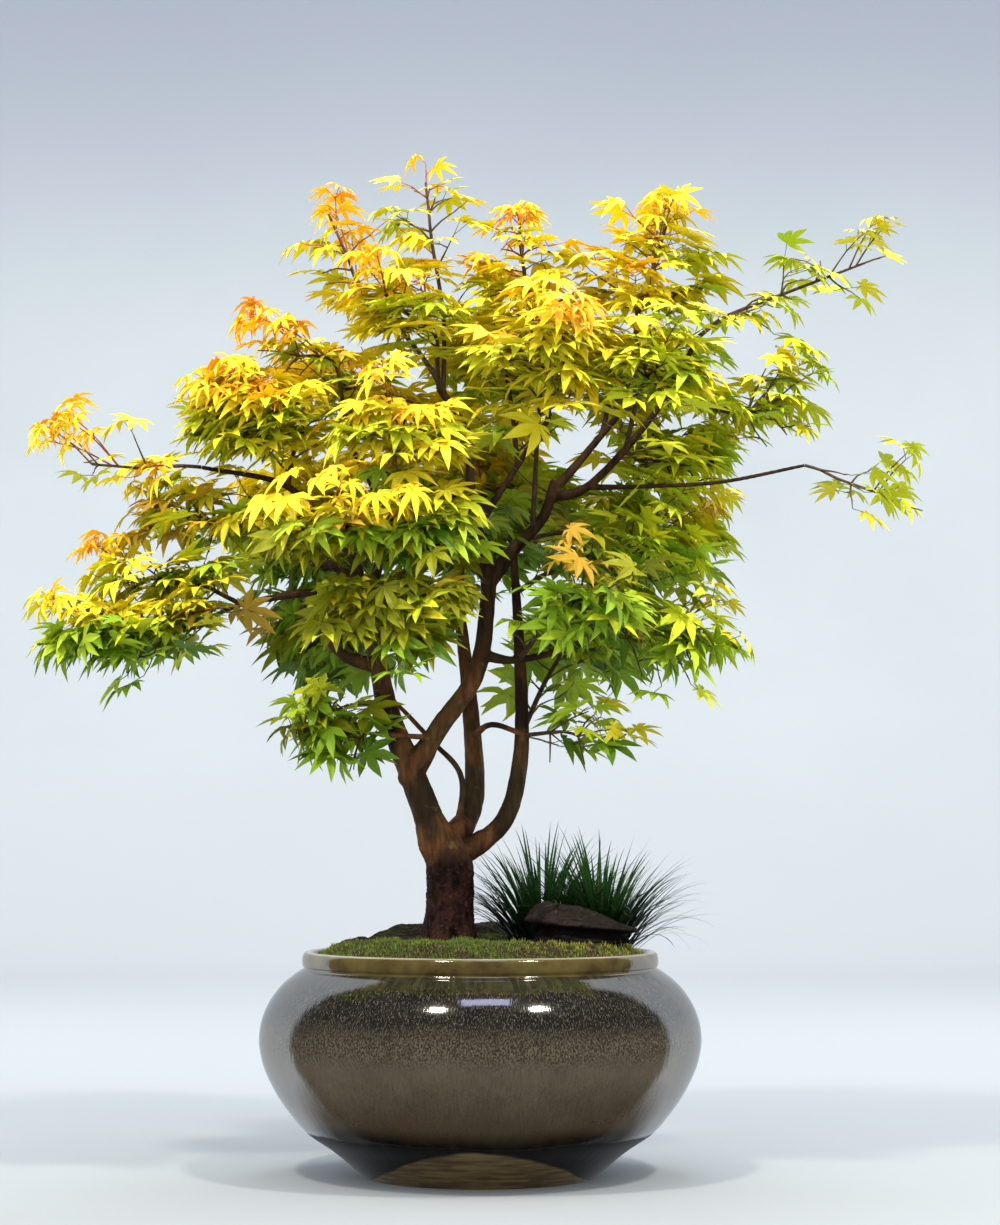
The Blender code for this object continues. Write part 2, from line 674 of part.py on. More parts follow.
def grass_plan(seed):
    """Blades in a ring that wanders from one clump to the other."""
    rnd = random.Random(seed)
    first, last = GRASS_FEET
    blades = []
    for i in range(GRASS_BLADES):
        share = i / (GRASS_BLADES - 1)
        turn = rnd.uniform(-0.5, 0.5) + math.pi * 2 * ((i * 0.382) % 1.0)
        x = first[0] + (last[0] - first[0]) * share + GRASS_RING * math.cos(turn)
        y = first[1] + (last[1] - first[1]) * share + GRASS_RING * math.sin(turn)
        heading = math.atan2(0.6 * math.sin(turn), math.cos(turn) + 1.6 * (share - 0.5))
        lean = rnd.uniform(25, 95)
        length = GRASS_BLADE * rnd.uniform(0.75, 1.12)
        blades.append(grass_blade((x, y, SOIL_SEAT + GRASS_START), heading, lean, length))
    return blades


def grass_clump():
    """Low foot with the blades fused on; a blade without room is skipped."""
    clump = reshape(turned("grass_clump", GRASS_FOOT, "grass", GRASS_SIDES),
                    lambda x, y, z: (GRASS_AT[0] + x, GRASS_AT[1] + y * GRASS_FOOT_FLAT, SOIL_SEAT + z))
    extras = new_set("grass_blades")
    others = Room()
    for i, path in enumerate(grass_plan(41)):
        radii = taper(GRASS_ROOT, GRASS_TIP, len(path))
        shell = tree_of(*tube(path, [r + GRASS_AIR for r in radii], 3, 0.2))
        upper = smooth_path(path, 8.0)[2:]
        free_part = tree_of(*tube(upper, [GRASS_ROOT] * len(upper)))
        if room.hits(shell) or (others.verts and others.hits(free_part)):
            continue
        solid("blade_%d" % i, *tube(path, radii), where=extras)
        others.add(*tube(path, [r + 0.2 for r in radii]))
    kept = len(extras.objects)
    print("grass: blades %d, left out in fusing %d, triangles %d" % (
        kept, fuse(clump, extras), len(clump.data.polygons)))
    return clump


room.add(*triangles(grass_clump()))

# ---------------------------------------------------------------- spaces of the leaf masses
SPACES = {}


def axes_of(azimuth, rise):
    """Directions along, across and up of a mass."""
    az = math.radians(azimuth)
    up = math.radians(rise)
    along = Vector((math.cos(az) * math.cos(up), math.sin(az) * math.cos(up), math.sin(up)))
    across = Vector((-math.sin(az), math.cos(az), 0.0))
    return along, across, along.cross(across)


for name, limb, share, centre, half, azimuth, rise, key, seed in MASSES:
    SPACES[name] = (Vector(centre), (half[0], half[1], half[2] + DROOP_ROOM), axes_of(azimuth, rise))


def depth_in(name, p):
    """0 at the middle of a mass's space, 1 on its edge."""
    centre, half, axes = SPACES[name]
    return math.sqrt(sum(((p - centre).dot(ax) / h) ** 2 for ax, h in zip(axes, half)))


def reach_in(name, p, direction):
    """Run from a point to the edge of the space along a direction."""
    centre, half, axes = SPACES[name]
    o = [(p - centre).dot(ax) / h for ax, h in zip(axes, half)]
    d = [direction.dot(ax) / h for ax, h in zip(axes, half)]
    a = sum(x * x for x in d)
    b = 2 * sum(x * y for x, y in zip(o, d))
    c = sum(x * x for x in o) - 1.0
    inside = b * b - 4 * a * c
    if inside <= 0:
        return 0.0
    return max(0.0, (-b + math.sqrt(inside)) / (2 * a))


# ---------------------------------------------------------------- rule that grows a mass
BENDS = [(0.0, 0.0)] + [(d * math.cos(math.radians(t)), d * math.sin(math.radians(t)))
                       for d in (8.0, 16.0, 26.0) for t in range(0, 360, 45)]
PAIR_AT = 0.86             # place of a twig's outer leaf pair
MIDDLE_AT = 0.42           # and of the one halfway
SIDE_LEAF = 0.94           # their size against the tip leaf
END_FAN = (0.0, 56.0, -56.0)


def stem_path(name, start, bend):
    """Centre line of a mass's stem: from its limb into the space and on towards the far end."""
    centre, half, (along, across, up) = SPACES[name]
    entry = centre - along * (0.50 * half[0])
    end = centre + along * max(4.0, half[0] - LEAF * (0.80 - 0.45 * along.z))
    if (entry - start).length < SHORT_STEM:
        return smooth_path([start, centre.lerp(entry, 0.3), end], STEM_STEP), entry, end
    run = (entry - start).normalized()
    side = run.cross(Vector((0.0, 0.0, 1.0))).normalized()
    aside, above = BENDS[bend]
    above += 0.05 * (entry - start).length
    half_way = start.lerp(entry, 0.5) + side * aside + side.cross(run) * above
    return smooth_path([start, half_way, entry, centre, end], STEM_STEP), entry, end


def leaf_poses(rnd):
    """Ways a leaf may hang, tried in turn: swing sideways, fall below its twig, twist."""
    return [(rnd.uniform(-22, 22), rnd.uniform(-8, 36), rnd.uniform(-28, 28)) for _ in range(POSES)]


def twig_leaves(twig, node, tip, way, grow, spare, along, up, poses):
    """Leaf places of one side twig: its tip leaf, and pairs behind it where there is room."""
    flat = (along - way * along.dot(way)).normalized()
    places = [(twig, tip, way, grow, poses[0])]
    if spare > PAIR_LEAST:
        spot = node.lerp(tip, PAIR_AT)
        for side, pose in ((1, poses[1]), (-1, poses[2])):
            off = (way * 0.55 + flat * (0.83 * side)).normalized()
            places.append((twig, spot, off, grow * SIDE_LEAF, pose))
    if spare > MIDDLE_LEAST:
        spot = node.lerp(tip, MIDDLE_AT)
        for side, pose in ((1, poses[3]), (-1, poses[4])):
            off = (way * 0.45 + up * (0.6 * side) + flat * (0.5 * side)).normalized()
            places.append((twig, spot, off, grow * SIDE_LEAF, pose))
    return places


def spray_plan(name, start, bend, seed):
    """Stem, side twigs and leaf places of one mass, by a seeded rule."""
    rnd = random.Random(seed)
    centre, half, (along, across, up) = SPACES[name]
    stem, entry, end = stem_path(name, start, bend)
    places = []
    twigs = []
    count = max(2, int(round((end - entry).length / NODE_STEP)))
    for j in range(count):
        t = (j + 0.35) / count
        node = entry.lerp(centre, t * 2) if t < 0.5 else centre.lerp(end, t * 2 - 1)
        rolls = [rnd.uniform(-16, 16)]
        if half[2] > TALL_MASS:
            rolls.append(90 + rnd.uniform(-24, 24))
        for roll, side in [(r, s) for r in rolls for s in (1, -1)]:
            spread = math.radians(rnd.uniform(48, 74))
            turn = math.radians(roll + rnd.uniform(-8, 8))
            out = across * (side * math.cos(turn)) + up * (side * math.sin(turn))
            way = (along * math.cos(spread) + out * math.sin(spread)).normalized()
            grow = LEAF * rnd.uniform(0.90, 1.06)
            spare = reach_in(name, node, way) - 0.80 * grow
            poses = [leaf_poses(rnd) for _ in range(5)]
            if spare < TWIG_LEAST:
                places.append((None, node, way, grow, poses[0]))
                continue
            tip = node + way * min(spare, TWIG_MOST) - Vector((0, 0, TWIG_FALL))
            places += twig_leaves(len(twigs), node, tip, way, grow, spare, along, up, poses)
            twigs.append((node, tip))
    for turn in END_FAN:
        ang = math.radians(turn + rnd.uniform(-6, 6))
        way = along * math.cos(ang) + across * math.sin(ang)
        places.append((None, end, way, LEAF * 0.98, leaf_poses(rnd)))
    return stem, twigs, places


def start_of(limb, share, name):
    """Where a stem leaves its limb, just clear of it, and which bend takes it clear of all that stands."""
    spot, heading = path_point(paths[limb], share)
    wide = limb_radii[limb][0] + (limb_radii[limb][1] - limb_radii[limb][0]) * share
    for bend in range(len(BENDS)):
        stem = stem_path(name, spot, bend)[0]
        toward = (stem[1] - stem[0]).normalized()
        turn = max(0.25, math.sqrt(max(0.0, 1.0 - toward.dot(heading) ** 2)))
        run = 0.0 if share == 1.0 else 0.8 * wide / turn
        for step in range(160):
            start = spot + toward * (run + STEM_SLIDE * step)
            stem = stem_path(name, start, bend)[0]
            way = (stem[1] - stem[0]).normalized()
            if not room.hits(tree_of(*tube([start, start + way * 9.0], [STEM, STEM], 3, GAP))):
                radii = taper(STEM + 0.5, STEM_END + 0.5, len(stem))
                if not room.hits(tree_of(*tube(stem, radii))):
                    return start, bend
                break
    print("no clear way for the stem of", name)
    return spot, 0


# ---------------------------------------------------------------- leaves
def leaf_frame(way, pose):
    """Leaf directions: swung aside and down from its twig's way, turned about itself by its twist."""
    swing, fall, twist = [math.radians(angle) for angle in pose]
    flat = Vector((way.x, way.y, 0.0))
    lift = math.atan2(way.z, max(1e-6, flat.length))
    flat = flat.normalized() if flat.length > 1e-4 else Vector((1, 0, 0))
    flat = Vector((flat.x * math.cos(swing) - flat.y * math.sin(swing),
                   flat.x * math.sin(swing) + flat.y * math.cos(swing), 0))
    steepest = math.radians(70.0)
    rise = min(steepest, max(-steepest, 0.62 * lift - fall))
    out = flat * math.cos(rise) + Vector((0, 0, math.sin(rise)))
    side = Vector((-flat.y, flat.x, 0.0))
    side = side * math.cos(twist) + out.cross(side) * math.sin(twist)
    return out, side, out.cross(side)


def leaf_points(root, way, pose, length, swell=0.0):
    """Rim of a three-lobed leaf from lobe to lobe, then its thick heart above and below."""
    out, side, top = leaf_frame(way, pose)
    wide = LEAF_WIDE * length + swell
    thick = LEAF_THICK / 2 + swell
    long = length + swell
    heart = root + out * (0.36 * length)
    return out, top, [
        root + out * (0.34 * long) - side * wide - top * (0.07 * length),
        root + out * (0.47 * long) - side * (0.36 * wide),
        root + out * long - top * (0.12 * length),
        root + out * (0.47 * long) + side * (0.36 * wide),
        root + out * (0.34 * long) + side * wide - top * (0.07 * length),
        heart + top * thick,
        heart - top * thick,
    ]


def leaf_solid(root, way, pose, length, swell=0.0, bare=-LEAF_SINK):
    """Closed leaf whose root edge sits in its twig; a bare length leaves off the part next to the twig."""
    out, top, rest = leaf_points(root, way, pose, length, swell)
    base = root + out * bare
    half = LEAF_ROOT / 2 + swell
    verts = [base + top * half, base - top * half] + rest
    faces = []
    for a in range(2, 6):
        faces.append((7, a, a + 1))
        faces.append((8, a + 1, a))
    faces += [(7, 0, 2), (7, 6, 0), (8, 2, 1), (8, 1, 6), (0, 1, 2), (1, 0, 6)]
    return verts, faces


def sprig_solid(foot, root, way, pose, length):
    """Side twig with the leaf at its tip drawn on in one closed piece."""
    out, top, rest = leaf_points(root, way, pose, length)
    turn = out.rotation_difference(root - foot)
    lift = turn @ top
    flat = turn @ top.cross(out)
    verts = []
    for centre, r in ((foot, TWIG), (root, TWIG * 0.85)):
        verts += [centre + lift * r, centre - lift * (0.5 * r) - flat * (0.87 * r),
                  centre - lift * (0.5 * r) + flat * (0.87 * r)]
    verts += rest
    faces = [(0, 1, 2), (0, 3, 4, 1), (1, 4, 5, 2), (2, 5, 3, 0)]
    for a in range(6, 10):
        faces.append((11, a, a + 1))
        faces.append((12, a + 1, a))
    faces += [(11, 3, 6), (11, 10, 3), (3, 4, 6), (5, 3, 10), (4, 12, 6), (12, 5, 10), (4, 5, 12)]
    return verts, faces


def in_own_space(name, leaf):
    """True for a leaf with its lobes inside its mass's space and its heart in no neighbour's."""
    points = leaf_points(*leaf)[2]
    heart = (points[5] + points[6]) / 2
    near = depth_in(name, heart)
    lobes = max(depth_in(name, points[0]), depth_in(name, points[4]))
    return lobes <= 1.2 and not any(depth_in(n, heart) < near for n in SPACES if n != name)


def choose_leaves(name, twigs, places, twig_trees):
    """Leaves that find room, outermost places first, each in the first of its poses that fits."""
    sites = []
    for k, (twig, root, way, length, poses) in enumerate(places):
        if twig in twig_trees:
            at_tip = twig is not None and root == twigs[twig][1]
            outer = depth_in(name, root + way * length) + (0.15 if at_tip else 0.0)
            sites.append((-round(outer, 2), k, twig, at_tip, root, way, length, poses))
    sites.sort(key=lambda row: row[:2])
    chosen = []
    standing = list(twig_trees.values())
    for _, k, twig, at_tip, root, way, full, poses in sites:
        if len(chosen) == MOST_LEAVES:
            break
        for pose in poses:
            length = min(full, 1.04 * reach_in(name, root, leaf_frame(way, pose)[0]))
            leaf = (root, way, pose, length)
            if length < LEAF_LEAST or not in_own_space(name, leaf):
                continue
            swollen = tree_of(*leaf_solid(*leaf, swell=LEAF_AIR))
            if room.hits(swollen):
                continue
            loose = tree_of(*leaf_solid(*leaf, swell=GAP, bare=LEAF_NECK))
            if any(loose.overlap(tree) for tree in standing):
                continue
            standing.append(swollen)
            chosen.append((twig, at_tip, leaf))
            break
    return chosen


def grow_mass(name, limb, share, key, seed):
    """One mass: stem, twigs and leaves in its own space, joined into one closed body."""
    start, bend = start_of(limb, share, name)
    stem, twigs, places = spray_plan(name, start, bend, seed)
    stem_mesh = tube(stem, taper(STEM, STEM_END, len(stem)))
    twig_trees = {None: tree_of(*stem_mesh)}
    for i, ends in enumerate(twigs):
        if not room.hits(tree_of(*tube(ends, [TWIG + GAP] * 2, 3, GAP))):
            twig_trees[i] = tree_of(*tube(ends, [TWIG] * 2))
    chosen = choose_leaves(name, twigs, places, twig_trees)
    base = solid(name, *stem_mesh, key=key)
    extras = new_set(name + "_parts")
    drawn = set()
    for i, (twig, at_tip, leaf) in enumerate(chosen):
        if at_tip:
            drawn.add(twig)
            weld(solid("sprig_%d" % i, *sprig_solid(twigs[twig][0], *leaf), where=extras))
        else:
            solid("leaf_%d" % i, *leaf_solid(*leaf), where=extras)
    for twig in sorted({row[0] for row in chosen if row[0] is not None} - drawn):
        solid("twig_%d" % twig, *tube(twigs[twig], [TWIG, TWIG * 0.8]), where=extras)
    lost = fuse(base, extras)
    room.add(*triangles(base))
    print("%-18s bend %2d leaves %2d of %2d left out in fusing %d triangles %d" % (
        name, bend, len(chosen), len(places), lost, len(base.data.polygons)))
    return len(chosen)


leaves = sum(grow_mass(name, limb, share, key, seed)
             for name, limb, share, centre, half, azimuth, rise, key, seed in MASSES)
print("nodes", len(maple.objects), "leaves", leaves)
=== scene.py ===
# %% [markdown]
# # A small maple in a glazed pot, dressed piece by piece
# The frame is the part as it was built: pot, soil, stone, grass, trunk, boughs and leaf masses, all as plain
# solids at their real size. This lesson gives each of them its looks. Plain solids could simply be painted,
# but bark, moss and leaves live from their outline, so each solid is replaced by a finer mesh in its place.

# %% Load the frame
import math
import random
from collections import namedtuple
from itertools import chain, product

import bmesh
import bpy
import numpy as np
from mathutils import Matrix, Vector, noise
from mathutils.kdtree import KDTree


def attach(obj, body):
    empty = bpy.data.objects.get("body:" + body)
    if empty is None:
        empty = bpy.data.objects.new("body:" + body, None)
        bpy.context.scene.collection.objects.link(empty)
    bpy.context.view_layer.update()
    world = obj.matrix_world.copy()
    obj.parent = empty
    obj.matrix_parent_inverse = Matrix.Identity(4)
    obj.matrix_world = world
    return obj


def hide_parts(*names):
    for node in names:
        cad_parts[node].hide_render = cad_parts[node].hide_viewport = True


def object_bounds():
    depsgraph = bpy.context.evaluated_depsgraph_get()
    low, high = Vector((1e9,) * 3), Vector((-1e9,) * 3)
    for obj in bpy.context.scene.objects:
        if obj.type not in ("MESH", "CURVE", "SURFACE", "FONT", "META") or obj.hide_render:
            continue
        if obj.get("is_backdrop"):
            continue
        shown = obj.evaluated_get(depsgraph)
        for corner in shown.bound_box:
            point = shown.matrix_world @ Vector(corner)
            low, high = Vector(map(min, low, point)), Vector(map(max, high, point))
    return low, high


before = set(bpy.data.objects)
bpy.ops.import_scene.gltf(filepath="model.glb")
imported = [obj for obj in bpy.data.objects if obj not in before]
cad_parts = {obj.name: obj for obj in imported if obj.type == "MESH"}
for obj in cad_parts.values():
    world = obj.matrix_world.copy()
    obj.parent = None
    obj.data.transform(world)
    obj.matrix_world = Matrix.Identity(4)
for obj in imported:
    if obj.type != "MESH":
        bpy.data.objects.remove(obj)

MM = 0.001
UP = Vector((0.0, 0.0, 1.0))
cad_low, cad_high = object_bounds()
print("CAD box in mm:", [round(v / MM) for v in cad_low], [round(v / MM) for v in cad_high])

# %% [markdown]
# # Camera
# A tray tree is looked at from the height of its pot, which makes the crown stand tall. A long lens from
# over two metres away keeps the pot's rim a slim ellipse. The camera only tilts up a little, with no shift.

# %% Place the camera
camera_data = bpy.data.cameras.new("front_view")
camera_data.lens = 84.5
camera_data.sensor_width = 36.0
camera = bpy.data.objects.new("front_view", camera_data)
camera.location = (0.0156, -2.3, 0.278)
camera.rotation_euler = (math.radians(94.17), 0.0, 0.0)
bpy.context.scene.collection.objects.link(camera)
bpy.context.scene.camera = camera
bpy.context.scene.view_settings.view_transform = "Standard"
print("camera at", tuple(round(v, 3) for v in camera.location), "lens", camera_data.lens, "mm")

# %% [markdown]
# # Helpers for meshes
# Leaves and twigs come in thousands. Adding them one object at a time is slow, so their points are worked
# out as arrays and written into one mesh at once. Small bodies use the same helper with plain lists.


# %% Write a mesh from points and faces
def make_piece(name, points, faces, finish, slot, replaced=(), smooth=True):
    """Mesh object from points in millimetres; it rides on the body and may stand for CAD nodes."""
    coords = np.asarray(points, dtype=np.float32) * MM
    corners = np.fromiter(chain.from_iterable(faces), dtype=np.int32)
    sizes = np.fromiter(map(len, faces), dtype=np.int32)
    mesh = bpy.data.meshes.new(name)
    mesh.vertices.add(len(coords))
    mesh.vertices.foreach_set("co", coords.ravel())
    mesh.loops.add(len(corners))
    mesh.loops.foreach_set("vertex_index", corners)
    mesh.polygons.add(len(sizes))
    mesh.polygons.foreach_set("loop_start", (np.cumsum(sizes) - sizes).astype(np.int32))
    mesh.update(calc_edges=True)
    if smooth:
        mesh.shade_smooth()
    else:
        mesh.shade_flat()
    obj = bpy.data.objects.new(name, mesh)
    bpy.context.scene.collection.objects.link(obj)
    obj.data.materials.append(finish)
    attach(obj, "root")
    if replaced:
        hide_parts(*replaced)
    print("%-22s %7d points %7d faces" % (name, len(coords), len(sizes)))


# %% [markdown]
# # Helpers for finishes
# Every finish is a Principled shader fed by a few masks. A mask is a grey value from 0 to 1 that runs over
# the surface, and each one decides where a second colour or roughness shows. Writing out every node and link
# by hand would bury the recipe, so a few short helpers add a node and connect whatever they are given.


# %% Start a finish and feed its nodes
def feed(tree, socket, value):
    """Link an input to another node's output, or set it to a plain number, vector or colour."""
    if isinstance(value, bpy.types.NodeSocket):
        tree.links.new(value, socket)
    elif socket.type == "RGBA":
        socket.default_value = (*value, 1.0)
    else:
        socket.default_value = value


def feed_node(tree, node, **values):
    """Feed several inputs of a node; the keywords name them with _ in place of a space."""
    for key, value in values.items():
        feed(tree, node.inputs[key.replace("_", " ")], value)


def add_node(tree, kind, **values):
    """New node with its inputs fed."""
    made = tree.nodes.new(kind)
    feed_node(tree, made, **values)
    return made


def new_finish(name, **values):
    """Material with its node tree and its Principled shader, which gets the named values."""
    finish = bpy.data.materials.new(name)
    finish.use_nodes = True
    shader = finish.node_tree.nodes["Principled BSDF"]
    feed_node(finish.node_tree, shader, **values)
    return finish, finish.node_tree, shader


# %% Places and sums in a node tree
def object_place(tree):
    """Place of a surface point in the object's own space, in metres."""
    return tree.nodes.new("ShaderNodeTexCoord").outputs["Object"]


def part_of(tree, vector, axis):
    """One axis of a vector."""
    return add_node(tree, "ShaderNodeSeparateXYZ", Vector=vector).outputs[axis]


def maths(tree, operation, *values, kind="ShaderNodeMath"):
    """Result of a Math node on sockets or numbers."""
    made = tree.nodes.new(kind)
    made.operation = operation
    for socket, value in zip(made.inputs, values):
        feed(tree, socket, value)
    return made.outputs[0]


def vector_maths(tree, operation, *values):
    """Result of a Vector Math node on sockets or vectors."""
    return maths(tree, operation, *values, kind="ShaderNodeVectorMath")


def fade(tree, value, start, stop, low=0.0, high=1.0, way="LINEAR"):
    """Goes from low to high as the value goes from start to stop, and stays there beyond them."""
    made = add_node(tree, "ShaderNodeMapRange", Value=value, From_Min=start, From_Max=stop,
                    To_Min=low, To_Max=high)
    made.interpolation_type = way
    return made.outputs["Result"]


# %% [markdown]
# # Two masks for many finishes
# Two masks are used again and again: a stretched noise that gives flecks, grain and blotches, and a band
# that fades in between two heights. Both are shader node groups, so that each finish sets its own numbers on
# the same tool, and a change to the tool reaches every finish at once.


# %% Build the two groups
def new_group(name, inputs, fill):
    """Node group with named inputs that puts out the mask which fill makes of them."""
    group = bpy.data.node_groups.new(name, "ShaderNodeTree")
    for title, value in inputs.items():
        kind = "NodeSocketVector" if isinstance(value, tuple) else "NodeSocketFloat"
        group.interface.new_socket(title, in_out="INPUT", socket_type=kind).default_value = value
    group.interface.new_socket("Mask", in_out="OUTPUT", socket_type="NodeSocketFloat")
    given = group.nodes.new("NodeGroupInput").outputs
    add_node(group, "NodeGroupOutput", Mask=fill(group, given))
    print("group", name, "with", len(group.nodes), "nodes")
    return group


def fill_flecks(tree, given):
    """Noise in the object's own space, stretched, then cut between Low and High."""
    place = vector_maths(tree, "MULTIPLY", object_place(tree), given["Stretch"])
    grains = add_node(tree, "ShaderNodeTexNoise", Vector=place, Scale=given["Scale"], Detail=given["Detail"])
    return fade(tree, grains.outputs["Fac"], given["Low"], given["High"])


def fill_height_band(tree, given):
    """0 below Bottom, 1 above Top, with an edge that wavers by a noise."""
    place = object_place(tree)
    waves = add_node(tree, "ShaderNodeTexNoise", Vector=place, Scale=given["Wave Scale"])
    swing = maths(tree, "SUBTRACT", waves.outputs["Fac"], 0.5)
    height = maths(tree, "MULTIPLY_ADD", swing, given["Waver"], part_of(tree, place, "Z"))
    return fade(tree, height, given["Bottom"], given["Top"], way="SMOOTHSTEP")


EVEN = (1.0, 1.0, 1.0)
fleck_group = new_group("flecks", {"Scale": 300.0, "Detail": 4.0, "Low": 0.4, "High": 0.6, "Stretch": EVEN},
                        fill_flecks)
band_group = new_group("height_band", {"Bottom": 0.0, "Top": 0.0, "Waver": 0.0, "Wave Scale": 0.0},
                       fill_height_band)


# %% Place the masks and blend colours with them
def place_group(tree, group, **values):
    """Mask of a node group placed with these values."""
    made = tree.nodes.new("ShaderNodeGroup")
    made.node_tree = group
    feed_node(tree, made, **values)
    return made.outputs["Mask"]


def flecks(tree, scale, low, high, detail=4.0, stretch=EVEN):
    """Mask of flecks; a smaller stretch draws them out along that axis."""
    return place_group(tree, fleck_group, Scale=scale, Low=low, High=high, Detail=detail, Stretch=stretch)


def height_band(tree, bottom, top, waver=0.0, wave_scale=40.0):
    """Mask that fades in between two heights in metres."""
    return place_group(tree, band_group, Bottom=bottom, Top=top, Waver=waver, Wave_Scale=wave_scale)


def blend_colour(tree, mask, under, over, share=1.0):
    """Colour that goes from under towards over, by a share at most, as the mask goes from 0 to 1."""
    made = tree.nodes.new("ShaderNodeMix")
    made.data_type = "RGBA"
    colours = {socket.name: socket for socket in made.inputs if socket.type == "RGBA"}
    feed(tree, colours["A"], under)
    feed(tree, colours["B"], over)
    feed(tree, made.inputs["Factor"], mask if share == 1.0 else maths(tree, "MULTIPLY", mask, share))
    return next(socket for socket in made.outputs if socket.type == "RGBA")


def relief(tree, shader, mask, strength, distance):
    """Bump from a mask into the shader's normal, on top of any bump already there."""
    made = add_node(tree, "ShaderNodeBump", Strength=strength, Distance=distance, Height=mask)
    normal = shader.inputs["Normal"]
    if normal.is_linked:
        tree.links.new(normal.links[0].from_socket, made.inputs["Normal"])
    tree.links.new(made.outputs["Normal"], normal)


# %% [markdown]
# # Floor and wall
# The object stands alone on a plain pale floor that curves up into a pale wall, like a photographer's paper
# roll. A flat floor and a flat wall would show a hard line where they meet, so both are one bent sheet. The
# paper is a little darker near the camera and high up, as it is where less of the lamps' light falls.

# %% Paper sweep
PAPER_SIDE = 9.0
PAPER_FRONT = -9.0
PAPER_BACK = 5.0
PAPER_TOP = 6.0
PAPER_BEND = 2.0
BEND_STEPS = 12

paper, tree, bsdf = new_finish("pale_paper", Roughness=0.9)
wall_tone = blend_colour(tree, flecks(tree, 2.0, 0.3, 0.7), (0.525, 0.580, 0.620), (0.560, 0.615, 0.655))
wall_tone = blend_colour(tree, height_band(tree, 1.4, 2.5, 0.5, 0.5), wall_tone, (0.350, 0.385, 0.470))
far = fade(tree, part_of(tree, object_place(tree), "Y"), 0.5, 3.2)
floor_tone = blend_colour(tree, far, (0.33, 0.36, 0.39), (0.54, 0.58, 0.62))
rising = height_band(tree, 0.0, 0.7, 0.0, 1.0)
feed_node(tree, bsdf, Base_Color=blend_colour(tree, rising, floor_tone, wall_tone))

sweep = [(PAPER_FRONT, 0.0)]
for a in np.linspace(0, math.pi / 2, BEND_STEPS + 1):
    sweep.append((PAPER_BACK - PAPER_BEND + PAPER_BEND * math.sin(a), PAPER_BEND - PAPER_BEND * math.cos(a)))
sweep.append((PAPER_BACK, PAPER_TOP))
sweep_mesh = bpy.data.meshes.new("paper_sweep")
sweep_mesh.from_pydata([(x, y, z) for y, z in sweep for x in (-PAPER_SIDE, PAPER_SIDE)], [],
                       [(2 * i, 2 * i + 1, 2 * i + 3, 2 * i + 2) for i in range(len(sweep) - 1)])
sweep_mesh.shade_smooth()
sweep_mesh.materials.append(paper)
floor = bpy.data.objects.new("paper_sweep", sweep_mesh)
floor.visible_glossy = False
bpy.context.scene.collection.objects.link(floor)
floor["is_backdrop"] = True
print("paper sweep:", len(sweep), "rows")

# %% [markdown]
# # Lamps
# Two warm lamps high up in front light the top of the crown and leave the trunk darker, as gallery spots
# do. Weaker cool lamps from above, behind and both sides lighten the shade. One broad lamp would be simpler,
# but it would flatten the tiers of the foliage.

# %% Lamps
LAMPS = [  # name, place, spot it points at, width and height, watts, colour
    ("warm_left", (-0.75, -1.15, 2.3), (-0.05, 0.0, 0.6), (0.22, 0.22), 35.0, (1.0, 0.92, 0.76)),
    ("warm_right", (0.95, -0.95, 2.2), (0.05, 0.0, 0.6), (0.18, 0.18), 33.0, (1.0, 0.93, 0.80)),
    ("cool_window", (0.10, -0.85, 2.5), (0.0, 0.0, 0.2), (0.80, 0.34), 5.0, (0.66, 0.68, 1.0)),
    ("top_back", (0.1, 1.1, 2.2), (0.0, 0.0, 0.6), (0.8, 0.4), 16.0, (0.92, 0.96, 1.0)),
    ("left_panel", (-1.9, 1.1, 0.95), (0.0, 0.0, 0.3), (1.9, 1.9), 20.0, (0.85, 0.92, 1.0)),
    ("right_panel", (1.9, 1.1, 0.95), (0.0, 0.0, 0.3), (1.9, 1.9), 20.0, (0.85, 0.92, 1.0)),
]
for name, place, aim, size, watts, colour in LAMPS:
    data = bpy.data.lights.new(name, "AREA")
    data.shape = "RECTANGLE"
    data.size, data.size_y = size
    data.energy = watts
    data.color = colour
    lamp = bpy.data.objects.new(name, data)
    lamp.location = place
    lamp.rotation_mode = "QUATERNION"
    lamp.rotation_quaternion = (Vector(aim) - Vector(place)).to_track_quat("-Z", "Y")
    lamp.visible_glossy = not name.endswith("_panel")
    bpy.context.scene.collection.objects.link(lamp)
print("lamps:", len(LAMPS))

# %% [markdown]
# # Room
# A glossy pot mirrors the room around it. Building a room would be much work for a few soft shapes, so only
# mirror rays see a plain one here: bright behind the pot, which draws the pale rims at its sides, and dark in
# front and below. The camera sees a pale wall wherever the paper ends, and all other rays an even sky.

# %% Room light
world = bpy.data.worlds.new("room_light")
world.use_nodes = True
tree = world.node_tree
heading = tree.nodes.new("ShaderNodeTexCoord").outputs["Generated"]
back = part_of(tree, heading, "Y")
rise = part_of(tree, heading, "Z")
glow = fade(tree, back, 0.37, 0.45, 0.09, 1.5)
glow = maths(tree, "MULTIPLY", glow, fade(tree, back, 0.45, 0.95, 1.0, 0.5))
glow = maths(tree, "MULTIPLY", glow, fade(tree, rise, -0.62, -0.42, 0.12, 1.0))
sky = tree.nodes["Background"]
feed_node(tree, sky, Color=(0.88, 0.88, 0.87), Strength=1.66)
room = add_node(tree, "ShaderNodeBackground", Color=(0.80, 0.88, 0.96), Strength=glow)
far_wall = add_node(tree, "ShaderNodeBackground", Color=(0.62, 0.68, 0.73), Strength=1.0)
rays = tree.nodes.new("ShaderNodeLightPath").outputs
seen = sky.outputs[0]
